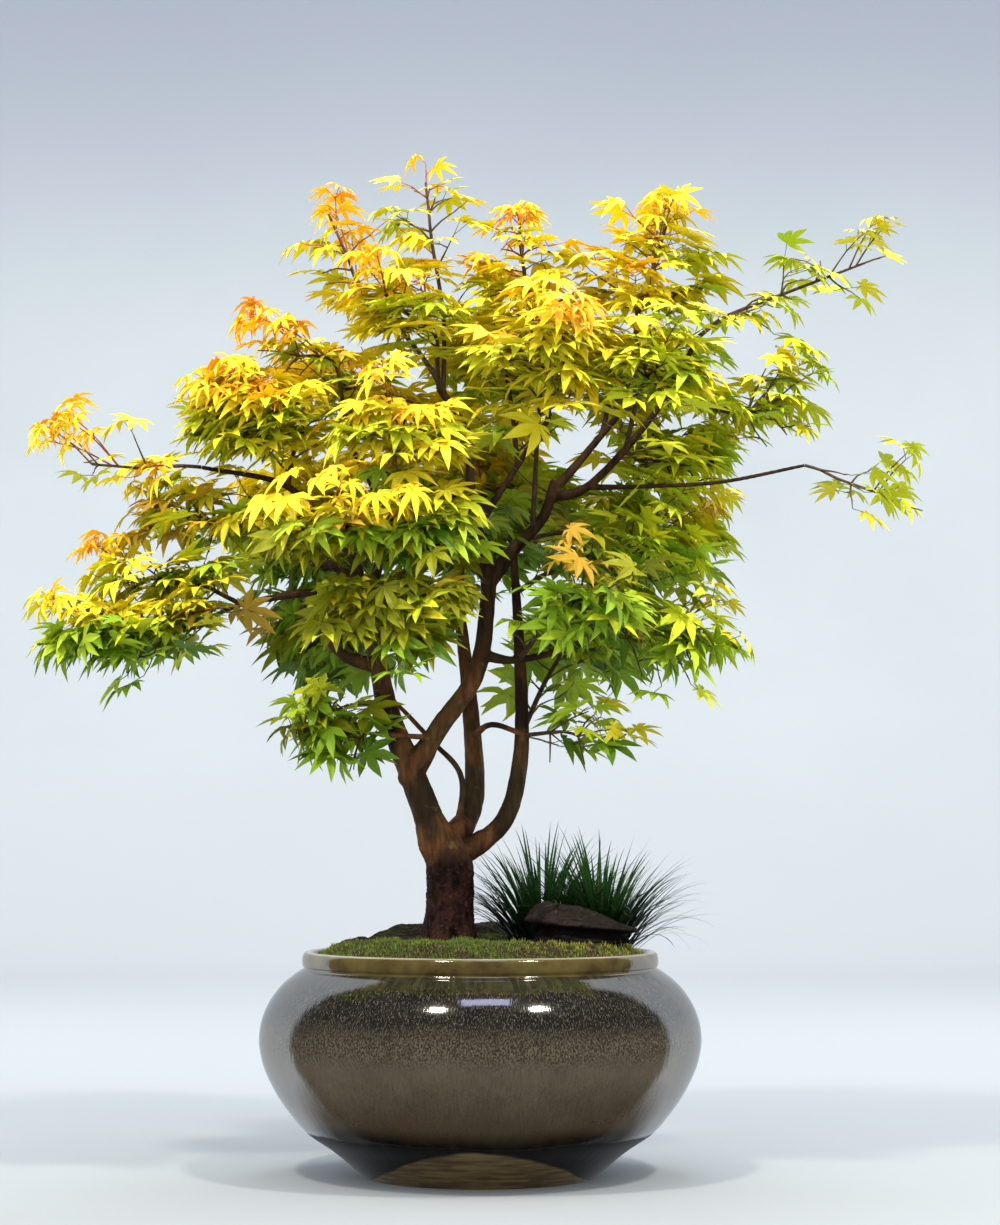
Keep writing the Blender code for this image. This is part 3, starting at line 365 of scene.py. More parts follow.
for ray, instead in (("Is Glossy Ray", room), ("Is Camera Ray", far_wall)):
    chooser = tree.nodes.new("ShaderNodeMixShader")
    for socket, source in zip(chooser.inputs, (rays[ray], seen, instead.outputs[0])):
        tree.links.new(source, socket)
    seen = chooser.outputs[0]
tree.links.new(seen, tree.nodes["World Output"].inputs["Surface"])
bpy.context.scene.world = world
print("room light:", len(tree.nodes), "nodes")

# %% [markdown]
# # Pot: shape
# The bowl is thrown on a wheel, so it is a turned body: one outline, turned round the axis by a Screw
# modifier. The rim is a plain collar with a round top, and a shallow groove parts it from the shoulder. The
# outline is only a few dozen points; a smooth curve through them keeps the belly free of corners.


# %% Smooth curves
def smooth_path(points, step):
    """Catmull-Rom curve through the points, with a new point about every step."""
    knots = [Vector(p) for p in points]
    knots = [knots[0] * 2 - knots[1]] + knots + [knots[-1] * 2 - knots[-2]]
    path = []
    for p0, p1, p2, p3 in zip(knots, knots[1:], knots[2:], knots[3:]):
        b = p2 - p0
        c = p0 * 2 - p1 * 5 + p2 * 4 - p3
        d = p1 * 3 - p0 - p2 * 3 + p3
        count = max(1, int(round((p2 - p1).length / step)))
        for t in (k / count for k in range(count)):
            path.append((p1 * 2 + b * t + c * t * t + d * t * t * t) * 0.5)
    path.append(knots[-2])
    return path


def smooth_outline(points, step):
    """Smooth curve through points of (radius, height), neither of them below zero."""
    path = smooth_path([(r, z, 0.0) for r, z in points], step)
    return [(max(0.0, p.x), max(0.0, p.y)) for p in path]


# %% Turned bodies
WELD = 0.02


def turn_outline(name, outline, steps):
    """Points and faces of an outline of (radius, height) turned round the axis."""
    data = bpy.data.meshes.new(name)
    edges = [(i, i + 1) for i in range(len(outline) - 1)]
    data.from_pydata([(r * MM, 0.0, z * MM) for r, z in outline], edges, [])
    shape = bpy.data.objects.new(name, data)
    bpy.context.scene.collection.objects.link(shape)
    screw = shape.modifiers.new("turn", "SCREW")
    screw.steps = screw.render_steps = steps
    screw.use_merge_vertices = True
    screw.merge_threshold = WELD * MM
    work = bmesh.new()
    work.from_mesh(shape.evaluated_get(bpy.context.evaluated_depsgraph_get()).to_mesh())
    bmesh.ops.remove_doubles(work, verts=work.verts, dist=WELD * MM)
    bmesh.ops.recalc_face_normals(work, faces=work.faces)
    work.verts.index_update()
    points = [tuple(v.co / MM) for v in work.verts]
    faces = [[v.index for v in f.verts] for f in work.faces]
    work.free()
    bpy.data.objects.remove(shape, do_unlink=True)
    return points, faces


# %% Turn the bowl
BELLY = [(94.0, 0.6), (98.5, 4.6), (107.0, 12.6), (118.7, 21.8), (137.4, 34.6), (149.4, 48.0), (160.8, 64.3),
         (170.6, 84.0), (174.6, 100.0), (174.9, 112.0), (172.6, 124.0), (166.9, 137.0), (158.0, 149.0),
         (149.0, 156.8), (142.6, 161.2)]
COLLAR = [(140.4, 162.4), (140.2, 163.6), (141.0, 165.0), (141.4, 168.0), (141.0, 172.4), (139.6, 175.0),
          (137.0, 176.0), (134.0, 175.2), (132.2, 172.6), (131.2, 167.0), (130.4, 161.0), (136.0, 150.0)]
INSIDE = [(159.0, 132.0), (167.0, 109.0), (162.0, 84.0), (137.0, 45.0), (92.0, 12.0), (0.0, 12.0)]
UNDERSIDE = [(0.0, 0.0), (93.4, 0.0)]
TURN_STEPS = 160

bowl_outline = UNDERSIDE + smooth_outline(BELLY, 2.5) + smooth_outline(COLLAR, 0.8) + INSIDE
bowl = turn_outline("bowl", bowl_outline, TURN_STEPS)
print("bowl outline:", len(bowl_outline), "points")

# %% [markdown]
# # Pot: glaze
# The glaze is a dark iron glaze that ran while it was hot. It is thin and golden on the collar, breaks into
# fine pale streaks like hare's fur on the shoulder, grows brown over the belly and gathers in a dark matte
# skirt. At the front and the back the skirt stops in an arch over bare clay; at the sides it runs down to
# the ground. Each zone is a height band, and the streaks are flecks whose noise is stretched downwards, so
# they hang the way the glaze ran. Painting streaks would not follow the curve.


# %% Streaks and an arch on the pot
WALL_RADIUS = 0.165


def streaks(tree, width, length, low, high, detail=2.0):
    """Mask of streaks of a width round the pot and a length down it, in metres, the same at every height."""
    place = object_place(tree)
    around = vector_maths(tree, "NORMALIZE", vector_maths(tree, "MULTIPLY", place, (1.0, 1.0, 0.0)))
    down = vector_maths(tree, "MULTIPLY", place, (0.0, 0.0, 1.0 / length))
    turned = vector_maths(tree, "MULTIPLY_ADD", around, (WALL_RADIUS / width,) * 3, down)
    grains = add_node(tree, "ShaderNodeTexNoise", Vector=turned, Scale=1.0, Detail=detail, Roughness=0.6)
    return fade(tree, grains.outputs["Fac"], low, high)


def arch_mask(tree, height, half_width, edge, waver):
    """0 under an arch over x of a height and half width in metres, 1 above it, with a wavering edge."""
    place = object_place(tree)
    x = part_of(tree, place, "X")
    lifted = maths(tree, "MULTIPLY_ADD", maths(tree, "MULTIPLY", x, x), height / half_width ** 2,
                   part_of(tree, place, "Z"))
    waves = add_node(tree, "ShaderNodeTexNoise", Vector=place, Scale=22.0, Detail=4.0)
    wavering = maths(tree, "MULTIPLY_ADD", waves.outputs["Fac"], waver, lifted)
    middle = height + 0.5 * waver
    return fade(tree, wavering, middle - edge, middle + edge)


# %% Glaze colours from the foot to the lip
glaze, tree, bsdf = new_finish("hares_fur_glaze", IOR=1.85)
fine_flecks = streaks(tree, 0.0006, 0.0023, 0.556, 0.630, 3.0)
fine_runs = streaks(tree, 0.0011, 0.0085, 0.46, 0.64, 3.0)
dense_flecks = streaks(tree, 0.0011, 0.0018, 0.45, 0.60, 3.0)
clouds = streaks(tree, 0.030, 0.022, 0.38, 0.64, 4.0)
runs = streaks(tree, 0.0045, 0.020, 0.40, 0.66)
strokes = streaks(tree, 0.045, 0.0022, 0.42, 0.60, 3.0)

skirt = blend_colour(tree, runs, (0.005, 0.0038, 0.0028), (0.014, 0.010, 0.006))
belly = blend_colour(tree, height_band(tree, 0.040, 0.105, 0.030, 14.0), (0.070, 0.049, 0.026),
                     (0.135, 0.112, 0.078))
belly = blend_colour(tree, clouds, belly, (0.050, 0.034, 0.020), 0.35)
belly = blend_colour(tree, dense_flecks, belly, (0.036, 0.028, 0.020), 0.35)
belly = blend_colour(tree, fine_runs, belly, (0.046, 0.034, 0.023), 0.40)
speckled = blend_colour(tree, dense_flecks, (0.024, 0.019, 0.012), (0.105, 0.086, 0.056))
shoulder = blend_colour(tree, clouds, (0.005, 0.004, 0.0035), (0.012, 0.009, 0.006))
shoulder = blend_colour(tree, fine_flecks, shoulder, (0.096, 0.086, 0.062))
near_rim = blend_colour(tree, runs, (0.012, 0.011, 0.008), (0.036, 0.031, 0.020))
gold_collar = blend_colour(tree, clouds, (0.046, 0.031, 0.008), (0.100, 0.074, 0.020))
worn_lip = (0.26, 0.24, 0.17)
zones = [  # height where the zone starts and is full, waver and wave scale of its edge, its colour
    (0.037, 0.052, 0.012, 22.0, belly),
    (0.080, 0.112, 0.020, 16.0, speckled),
    (0.110, 0.132, 0.016, 16.0, shoulder),
    (0.150, 0.157, 0.006, 20.0, near_rim),
    (0.1615, 0.1630, 0.0006, 60.0, gold_collar),
    (0.1746, 0.1756, 0.0008, 30.0, worn_lip),
]
colour = skirt
for bottom, top, waver, wave_scale, zone in zones:
    colour = blend_colour(tree, height_band(tree, bottom, top, waver, wave_scale), colour, zone)
print("zones of the glaze:", len(zones) + 1)

# %% Bare clay and gloss
glazed = arch_mask(tree, 0.0325, 0.086, 0.0010, 0.010)
clay = blend_colour(tree, strokes, (0.080, 0.053, 0.022), (0.165, 0.116, 0.050))
glossy = height_band(tree, 0.0350, 0.0375, 0.010, 22.0)
feed_node(tree, bsdf, Base_Color=blend_colour(tree, glazed, clay, colour),
          Roughness=fade(tree, glossy, 0.0, 1.0, 0.48, 0.085),
          Specular_IOR_Level=fade(tree, glossy, 0.0, 1.0, 0.10, 0.5))
relief(tree, bsdf, runs, 0.06, 0.0006)
relief(tree, bsdf, glazed, 0.6, 0.0012)
make_piece("pot_bowl", *bowl, glaze, "pot_glaze", ["pot"])

# %% [markdown]
# # Ground: soil and moss
# The soil fills the pot to just under the rim and rises in a low mound towards the back. In front it wears
# a green carpet of moss, and round the trunk and behind it the brown soil is bare. The ground is a round
# grid, lifted by noise into small humps. On top stand thousands of tiny moss spikes, made as one array,
# because a bump in the finish would leave the edge of the moss razor-flat against the rim.

# %% Height of the ground
SOIL_SEAT = 184.0
SOIL_BACK = 194.0
SOIL_EDGE = 173.5
SOIL_RADIUS = 130.4


def smooth_step(x):
    """Soft change from 0 to 1 as x goes from 0 to 1."""
    x = min(1.0, max(0.0, x))
    return x * x * (3 - 2 * x)


def noise_at(x, y, layer, scale):
    """Noise over the ground between -1 and 1; each layer has its own pattern."""
    return noise.noise(Vector((x, y, layer)) * scale)


def ground(x, y):
    """Height of the planted ground over a point, as the part has it."""
    level = SOIL_SEAT + (SOIL_BACK - SOIL_SEAT) * smooth_step((y - 50.0) / 34.0)
    edge = smooth_step((math.hypot(x, y) - 104.0) / 26.0)
    return level + (SOIL_EDGE - level) * edge


def mossy(x, y):
    """How much moss grows at a point: 1 in front and at the rim, 0 on the bare soil behind."""
    ragged = 30.0 * noise_at(x, y, 3.0, 0.040) + 16.0 * noise_at(x, y, 9.0, 0.13)
    front = smooth_step((-46.0 - y - 0.22 * (x + 20.0) + ragged) / 20.0)
    rim = smooth_step((math.hypot(x, y) - 106.0 + ragged) / 12.0) * smooth_step((20.0 - y) / 30.0)
    patch = smooth_step((24.0 - math.hypot(x - 6.0, y - 30.0) + ragged) / 10.0)
    worn = smooth_step((noise_at(x, y, 21.0, 0.033) - 0.04) / 0.22) * smooth_step((x + 20.0) / 40.0)
    return max(front, rim, 0.8 * patch) * (1.0 - 0.85 * worn)


def lumpy_ground(x, y):
    """The ground with its humps, flat at the very edge."""
    calm = 1.0 - smooth_step((math.hypot(x, y) - 118.0) / 12.0)
    humps = noise.fractal(Vector((x, y, 0.0)) * 0.05, 0.9, 2.0, 4)
    moss = mossy(x, y)
    cushion = (1.6 + 1.5 * noise_at(x, y, 7.0, 0.16)) * moss * (0.3 + 0.7 * calm)
    return ground(x, y) + calm * (2.3 * humps + noise_at(x, y, 5.0, 0.55) * (1.0 - 0.6 * moss)) + cushion


# %% Grid of the soil
RINGS = 96
SPOKES = 240
SOIL_UNDER = SOIL_EDGE - 12.0


def ring_of(radius, count):
    """Points (x, y) evenly round a circle."""
    turns = [2 * math.pi * k / count for k in range(count)]
    return [(radius * math.cos(a), radius * math.sin(a)) for a in turns]


soil_points = [(0.0, 0.0, lumpy_ground(0.0, 0.0))]
for ring in range(1, RINGS + 1):
    soil_points += [(x, y, lumpy_ground(x, y)) for x, y in ring_of(SOIL_RADIUS * ring / RINGS, SPOKES)]
soil_points += [(x, y, SOIL_UNDER) for x, y in ring_of(SOIL_RADIUS, SPOKES)]
soil_points.append((0.0, 0.0, SOIL_UNDER))
soil_faces = []
for k in range(SPOKES):
    n = (k + 1) % SPOKES
    soil_faces.append((0, 1 + k, 1 + n))
    for a in range(1, 1 + RINGS * SPOKES, SPOKES):
        soil_faces.append((a + k, a + SPOKES + k, a + SPOKES + n, a + n))
    soil_faces.append((1 + RINGS * SPOKES + k, len(soil_points) - 1, 1 + RINGS * SPOKES + n))
print("soil grid:", len(soil_points), "points")

# %% Soil finish
soil_finish, tree, bsdf = new_finish("mossy_soil", Roughness=0.95, Specular_IOR_Level=0.2)
crumbs = flecks(tree, 420.0, 0.35, 0.65)
bare = blend_colour(tree, crumbs, (0.010, 0.006, 0.004), (0.050, 0.028, 0.016))
bare = blend_colour(tree, flecks(tree, 160.0, 0.60, 0.70), bare, (0.13, 0.075, 0.042))
green = blend_colour(tree, crumbs, (0.014, 0.026, 0.004), (0.050, 0.070, 0.008))
feed_node(tree, bsdf, Base_Color=blend_colour(tree, flecks(tree, 60.0, 0.40, 0.60), bare, green, 0.7))
relief(tree, bsdf, crumbs, 0.8, 0.0012)
make_piece("soil_ground", soil_points, soil_faces, soil_finish, "soil", ["soil_bed"])


# %% Moss spikes
MOSS_TRIES = 24000
MOSS_RADIUS = SOIL_RADIUS - 1.2
MOSS_ROOT = 0.6


def spikes(seed, wanted):
    """Points and faces of tiny three-sided spikes where the wanted test says yes."""
    rnd = random.Random(seed)
    points, faces = [], []
    for _ in range(MOSS_TRIES):
        r = MOSS_RADIUS * math.sqrt(rnd.random())
        a = rnd.uniform(0, 2 * math.pi)
        x, y = r * math.cos(a), r * math.sin(a)
        tall = rnd.uniform(1.4, 3.6) * (1.0 + 0.6 * noise_at(x, y, 2.0, 0.10))
        lean_x, lean_y = rnd.uniform(-1.4, 1.4), rnd.uniform(-1.4, 1.4)
        if not wanted(x, y, rnd.random()):
            continue
        turn = rnd.uniform(0, 2 * math.pi)
        wide = rnd.uniform(0.35, 0.6)
        first = len(points)
        z = lumpy_ground(x, y) - MOSS_ROOT
        for b in (turn + 2 * math.pi * k / 3 for k in range(3)):
            points.append((x + wide * math.cos(b), y + wide * math.sin(b), z))
        points.append((x + lean_x, y + lean_y, z + tall))
        faces.append((first, first + 2, first + 1))
        faces += [(first + k, first + (k + 1) % 3, first + 3) for k in range(3)]
    return points, faces


def yellower(x, chance):
    """Right-hand moss is the yellower one, with a soft change between the two."""
    return chance < smooth_step((x - 10.0) / 60.0) * 0.8 + 0.12


# %% Moss pieces
MOSSES = [  # name, seed, test of a place, dark and light colour
    ("green", 11, lambda x, y, chance: chance < mossy(x, y) and not yellower(x, chance),
     (0.050, 0.095, 0.007), (0.110, 0.170, 0.012)),
    ("yellow", 12, lambda x, y, chance: chance < 0.9 * mossy(x, y) and yellower(x, chance),
     (0.130, 0.150, 0.010), (0.270, 0.260, 0.020)),
]
for name, seed, wanted, low, high in MOSSES:
    moss, tree, bsdf = new_finish(name + "_moss", Roughness=0.8)
    feed_node(tree, bsdf, Base_Color=blend_colour(tree, flecks(tree, 130.0, 0.3, 0.7, 3.0), low, high))
    make_piece("moss_" + name, *spikes(seed, wanted), moss, "soil", smooth=False)

# %% [markdown]
# # Stone
# A flat brown stone lies to the right of the trunk, with a thin ledge that throws a shadow under itself; its
# foot under the ledge is also painted near-black, as painted shade. The solid gives its outline. Here the
# same outline is turned with many more steps and pushed about by noise: a coarse one for the broken edges,
# and one squeezed in height for the layers of the rock.

# %% Stone shape
STONE_AT = (80.0, -30.0)
STONE_HALF = (45.0, 25.0)
STONE_TOP = 29.0
STONE_SIDES = 14
STONE_OUTLINE = [(0.0, 0.0), (0.80, 0.0), (0.80, 0.18), (0.77, 0.34), (1.0, 0.48), (0.97, 0.60), (0.74, 0.80),
                 (0.40, 1.0), (0.0, 1.0)]
STONE_SHIFT = (-11.0, 3.0)
STONE_STEPS = 150
stone_rnd = random.Random(7)
stone_wobble = [1.0 + stone_rnd.uniform(-0.10, 0.10) for _ in range(STONE_SIDES)]


def weathered(x, y, z):
    """Place of a point of the turned outline on the stone: uneven, leaning left, lower on the right."""
    turn = math.atan2(y, x) * STONE_SIDES / (2 * math.pi)
    side = math.floor(turn)
    this, following = stone_wobble[side % STONE_SIDES], stone_wobble[(side + 1) % STONE_SIDES]
    size = this + (following - this) * (turn - side)
    lean = max(0.0, z / STONE_TOP - 0.6) / 0.4
    px = x * size + STONE_SHIFT[0] * lean
    py = y * size * STONE_HALF[1] / STONE_HALF[0] + STONE_SHIFT[1] * lean
    rough = 2.0 * noise.fractal(Vector((px, py, z)) * 0.07, 0.8, 2.1, 5)
    layers = 1.3 * noise.noise(Vector((px * 0.03, py * 0.03, z * 0.42)))
    out = Vector((px, py * 1.6, 0.4 * (z - 12.0)))
    out.normalize()
    push = (rough + layers) * min(1.0, z / 6.0)
    slope = 1.0 - 0.30 * (px - STONE_SHIFT[0]) / STONE_HALF[0]
    return (STONE_AT[0] + px + out.x * push, STONE_AT[1] + py + out.y * push,
            SOIL_SEAT - 0.5 + z * slope + out.z * push)


stone_line = smooth_outline([(STONE_HALF[0] * r, STONE_TOP * z) for r, z in STONE_OUTLINE], 1.1)
stone_points, stone_faces = turn_outline("stone", stone_line, STONE_STEPS)
stone_points = [weathered(*p) for p in stone_points]
print("stone outline:", len(stone_line), "points")

# %% Stone finish
rock, tree, bsdf = new_finish("brown_rock", Specular_IOR_Level=0.22)
layers = flecks(tree, 60.0, 0.35, 0.65, 6.0, (1.0, 1.0, 4.0))
grit = flecks(tree, 520.0, 0.3, 0.7, 6.0)
chips = flecks(tree, 150.0, 0.62, 0.72)
tone = blend_colour(tree, layers, (0.004, 0.003, 0.002), (0.020, 0.011, 0.008))
tone = blend_colour(tree, chips, tone, (0.10, 0.062, 0.045), 0.6)
tone = blend_colour(tree, grit, tone, (0.008, 0.005, 0.005), 0.5)
# Under the ledge the foot of the stone is painted near-black: painted shade.
tone = blend_colour(tree, height_band(tree, 0.194, 0.199, 0.003, 60.0), (0.004, 0.003, 0.002), tone)
feed_node(tree, bsdf, Base_Color=tone, Roughness=fade(tree, grit, 0.0, 1.0, 0.60, 0.88))
relief(tree, bsdf, grit, 0.5, 0.0006)
relief(tree, bsdf, layers, 0.5, 0.0015)
make_piece("ledge_stone", stone_points, stone_faces, rock, "stone", ["stone"])

# %% [markdown]
# # Grass
# Behind the stone stand two tufts of dwarf grass: stiff dark blades that rise like a fan and arch over at
# their tips. A real blade is a folded ribbon, so each is a strip of a few steps with a fold along the middle
# that narrows to a point. Hair would be quicker to make, but it isn't a mesh and would be lost.

# %% One blade of grass
GRASS_FEET = [(50.0, 25.0), (96.0, 20.0)]
GRASS_STEPS = 9
GRASS_ROOT = 1.0


def grass_blade(foot, heading, start_rise, bend, length, width):
    """Points and faces of one folded blade that rises and arches over to a point."""
    side = Vector((-math.sin(heading), math.cos(heading), 0.0))
    rise = start_rise
    at = Vector(foot)
    points, faces = [], []
    for step in range(GRASS_STEPS):
        t = step / GRASS_STEPS
        half = width * (1.0 - t ** 2.2) * (0.55 + 0.45 * min(1.0, t * 5))
        level = math.cos(rise)
        forward = Vector((math.cos(heading) * level, math.sin(heading) * level, math.sin(rise)))
        up = side.cross(forward)
        points += [at - side * half + up * 0.25 * half, at.copy(), at + side * half + up * 0.25 * half]
        at = at + forward * (length / GRASS_STEPS)
        rise -= bend / GRASS_STEPS * (0.4 + 1.2 * t)
    points.append(at)
    last = 3 * (GRASS_STEPS - 1)
    for row in range(0, last, 3):
        faces += [(a, a + 1, a + 4, a + 3) for a in (row, row + 1)]
    faces += [(last, last + 1, last + 3), (last + 1, last + 2, last + 3)]
    return points, faces


# %% Tufts of grass
def grass_tufts(seed, count, reach, rise_range, bend_range, length_range, width):
    """Blades dealt out over both feet: the outer ones lean out and arch over, the inner ones stand."""
    rnd = random.Random(seed)
    points, faces = [], []
    for i in range(count):
        foot = GRASS_FEET[i % 2]
        turn = rnd.uniform(0, 2 * math.pi)
        r = reach * math.sqrt(rnd.random())
        x = foot[0] + 1.6 * r * math.cos(turn)
        y = foot[1] + 0.8 * r * math.sin(turn)
        sway, drift = rnd.uniform(-0.3, 0.3), rnd.uniform(-0.3, 0.3)
        heading = math.atan2(0.55 * math.sin(turn) + sway, math.cos(turn) + drift)
        outer = (r / reach) ** 2
        rise = math.radians(rnd.uniform(*rise_range) - 30.0 * outer)
        bend = math.radians(rnd.uniform(*bend_range) * (0.4 + 1.1 * outer))
        length = rnd.uniform(*length_range) * (1.0 - 0.12 * outer)
        blade, strip = grass_blade((x, y, ground(x, y) - GRASS_ROOT), heading, rise, bend, length,
                                   width * rnd.uniform(0.7, 1.1))
        faces += [tuple(len(points) + v for v in f) for f in strip]
        points += blade
    return points, faces


# %% Grass pieces
GRASSES = [  # name, finish, dark and light colour, nodes it stands for, and
    # seed, blades, reach of a tuft, rise and bend in degrees, length and half width in millimetres
    ("grass_tall", "dark_grass", (0.010, 0.052, 0.011), (0.044, 0.145, 0.026), ["grass_clump"],
     (21, 400, 16.0, (62, 90), (22, 84), (64, 104), 1.9)),
    ("grass_young", "young_grass", (0.045, 0.14, 0.015), (0.11, 0.24, 0.028), [],
     (22, 110, 17.0, (62, 90), (20, 84), (52, 94), 1.3)),
    ("grass_dry", "dry_grass", (0.07, 0.05, 0.02), (0.16, 0.12, 0.045), [],
     (23, 34, 17.0, (36, 62), (50, 110), (64, 98), 0.6)),
]
for name, finish_name, low, high, nodes, habit in GRASSES:
    blades, tree, bsdf = new_finish(finish_name, Roughness=0.38)
    tone = blend_colour(tree, flecks(tree, 90.0, 0.3, 0.7, 2.0, (1.0, 1.0, 0.3)), low, high)
    # The lower part of every blade fades to near-black: painted shade at the crowded foot of the tuft.
    tone = blend_colour(tree, height_band(tree, 0.190, 0.250, 0.01, 30.0), (0.004, 0.016, 0.003), tone)
    feed_node(tree, bsdf, Base_Color=tone)
    relief(tree, bsdf, flecks(tree, 900.0, 0.3, 0.7, 2.0, (1.0, 1.0, 0.05)), 0.3, 0.0002)
    make_piece(name, *grass_tufts(*habit), blades, "grass", nodes)

# %% [markdown]
# # Trunk and boughs
# The trunk leans, forks low, and each bough bends from side to side as it was wired and pruned. The table
# holds the points that each centre line passes through, with its radius at both ends, in millimetres, as in
# the part's source. Round tubes alone would meet like pipes, so their joined volume is remeshed in small
# cells: that melts the forks together, and the bark's relief can then be pushed into one even skin.

# %% Centre lines of the limbs
LIMBS = [
    ("left_leader", [(-31, 0, 252), (-47, -2, 297), (-74, -5, 368), (-87, -3, 436), (-105, 5, 500)],
     13.0, 4.0),
    ("centre_leader", [(-57, -5, 314), (-32, -12, 354), (-2, -15, 400), (8, -8, 478)], 8.5, 6.0),
    ("back_leader", [(-28, 6, 256), (-6, 25, 296), (-9, 40, 376), (-18, 55, 460), (-14, 58, 512)], 10.0, 3.0),
    ("right_leader", [(-20, 4, 250), (18, 8, 278), (32, 12, 330), (32, 17, 400), (26, 22, 504)], 8.5, 3.0),
    ("upper_left_bough", [(7, -8, 472), (-7, 0, 536), (-11, 5, 590), (-34, 8, 628)], 5.2, 2.5),
    ("upper_right_bough", [(6, -9, 468), (25, -6, 494), (50, -3, 522), (60, 0, 552)], 5.6, 4.0),
    ("right_high_bough", [(59, 0, 545), (78, 2, 566), (124, 8, 622)], 3.6, 2.5),
    ("right_arm_bough", [(56, -2, 538), (89, -5, 549), (140, -10, 606), (176, -8, 668)], 3.8, 2.2),
    ("far_right_twig", [(84, -5, 546), (130, -20, 545), (192, -26, 548), (258, -28, 561)], 2.2, 1.5),
    ("top_middle_bough", [(-5, -2, 510), (10, 8, 535), (56, 15, 606)], 3.4, 2.3),
    ("hooked_bough", [(-82, -5, 402), (-108, -12, 410), (-121, -16, 426), (-112, -20, 450)], 5.4, 3.0),
    ("left_low_bough", [(-90, -1, 448), (-125, -12, 461), (-192, -15, 452)], 4.4, 2.4),
    ("left_mid_bough", [(-95, 0, 468), (-116, 8, 482), (-138, 12, 487)], 4.0, 2.8),
    ("left_high_bough", [(-104, 4, 494), (-130, 6, 521), (-160, 4, 550), (-225, 0, 563)], 3.8, 1.8),
    ("high_left_bough", [(-90, -2, 452), (-80, 6, 500), (-86, 4, 545), (-108, 4, 585)], 4.2, 2.4),
    ("mid_right_bough", [(1, -14, 411), (28, -9, 407), (76, -8, 417)], 3.8, 2.4),
    ("low_right_twig", [(-8, 34, 346), (9, 6, 356), (36, -12, 347)], 2.8, 2.2),
    ("low_left_twig", [(-36, -11, 345), (-58, -24, 346), (-74, -27, 347)], 2.6, 2.0),
    ("inner_shoot", [(-22, 8, 256), (-15, 14, 312), (-40, 22, 344), (-78, 32, 384)], 3.0, 1.8),
]
TRUNK_X = -25.0
TRUNK_RADIUS = 19.0
TRUNK_TOP = 268.0
TRUNK_FOOT = SOIL_SEAT + 0.3
TRUNK_RISE = [0.0, 0.10, 0.25, 0.50, 0.72, 0.86, 1.0]
TRUNK_LEAN = [0.0, 0.0, 0.5, 1.0, 0.5, -3.0, -7.0]
TRUNK_TAPER = [1.05, 1.02, 0.99, 0.97, 1.0, 0.88, 0.72]
trunk_line = [(TRUNK_X + lean, 0.0, TRUNK_FOOT + (TRUNK_TOP - TRUNK_FOOT) * rise)
              for rise, lean in zip(TRUNK_RISE, TRUNK_LEAN)]
print("limbs in the table:", len(LIMBS), "and a trunk through", len(trunk_line), "points")


# %% Round tubes
def tube(path, radii, sides):
    """Points and faces of a closed round tube along a path."""
    points, faces = [], []
    side = Vector((0.13, 0.97, 0.2))
    for i, p in enumerate(path):
        axis = (path[min(len(path) - 1, i + 1)] - path[max(0, i - 1)]).normalized()
        side = (side - axis * side.dot(axis)).normalized()
        other = axis.cross(side)
        for k in range(sides):
            a = 2 * math.pi * k / sides
            points.append(p + (side * math.cos(a) + other * math.sin(a)) * radii[i])
    for row in range(0, sides * (len(path) - 1), sides):
        for k in range(sides):
            n = (k + 1) % sides
            faces.append((row + k, row + n, row + sides + n, row + sides + k))
    faces.append(tuple(reversed(range(sides))))
    faces.append(tuple(range(len(points) - sides, len(points))))
    return points, faces


def eased(start, end, count):
    """Even steps from start to end."""
    return [start + (end - start) * i / (count - 1) for i in range(count)]


# %% Paths and radii of the limbs
PATH_STEP = 4.0
SWELLING = 0.20

paths = {"trunk": smooth_path(trunk_line, PATH_STEP)}
trunk_shares = np.linspace(0, 1, len(paths["trunk"]))
trunk_taper = np.interp(trunk_shares, np.linspace(0, 1, len(TRUNK_TAPER)), TRUNK_TAPER)
widths = {"trunk": [TRUNK_RADIUS * float(share) for share in trunk_taper]}
for name, points, r0, r1 in LIMBS:
    paths[name] = smooth_path(points, PATH_STEP)
    widths[name] = eased(r0, r1, len(paths[name]))
    swollen = min(8, len(paths[name]) // 3)
    for i in range(swollen):
        widths[name][i] *= 1.0 + SWELLING * math.sin(math.pi * (i + 1.5) / (swollen + 2))
print("limbs:", len(paths), "longest path", max(len(p) for p in paths.values()), "points")

# %% [markdown]
# # Bark relief
# Low on the trunk the bark is dark and breaks into small flakes, and the foot spreads into root lobes.
# Higher up it is smooth and orange-brown with a long grain, and inside the crown it is painted darker again:
# painted shade under the leaves. The relief is real geometry: every point of the remeshed skin moves along
# its normal, by noise whose size follows the thickness of the limb there and, low on the trunk, by the height
# of a flake as well.

# %% Melt the limbs into one body
CELL = 1.12
TRUNK_SIDES = 20
LIMB_SIDES = 14


def rounded_foot(path, radii):
    """Path and radii with a round start, so a limb swells out of its parent without a step."""
    back = (path[0] - path[1]).normalized() * radii[0]
    turns = [math.radians(a) for a in (80, 55, 30)]
    return ([path[0] + back * math.sin(a) for a in turns] + path,
            [radii[0] * math.cos(a) for a in turns] + radii)


def vertex_rows(mesh, what):
    """One row of three numbers for each vertex of a mesh."""
    values = np.empty(len(mesh.vertices) * 3, dtype=np.float32)
    mesh.vertices.foreach_get(what, values)
    return values.reshape(-1, 3)


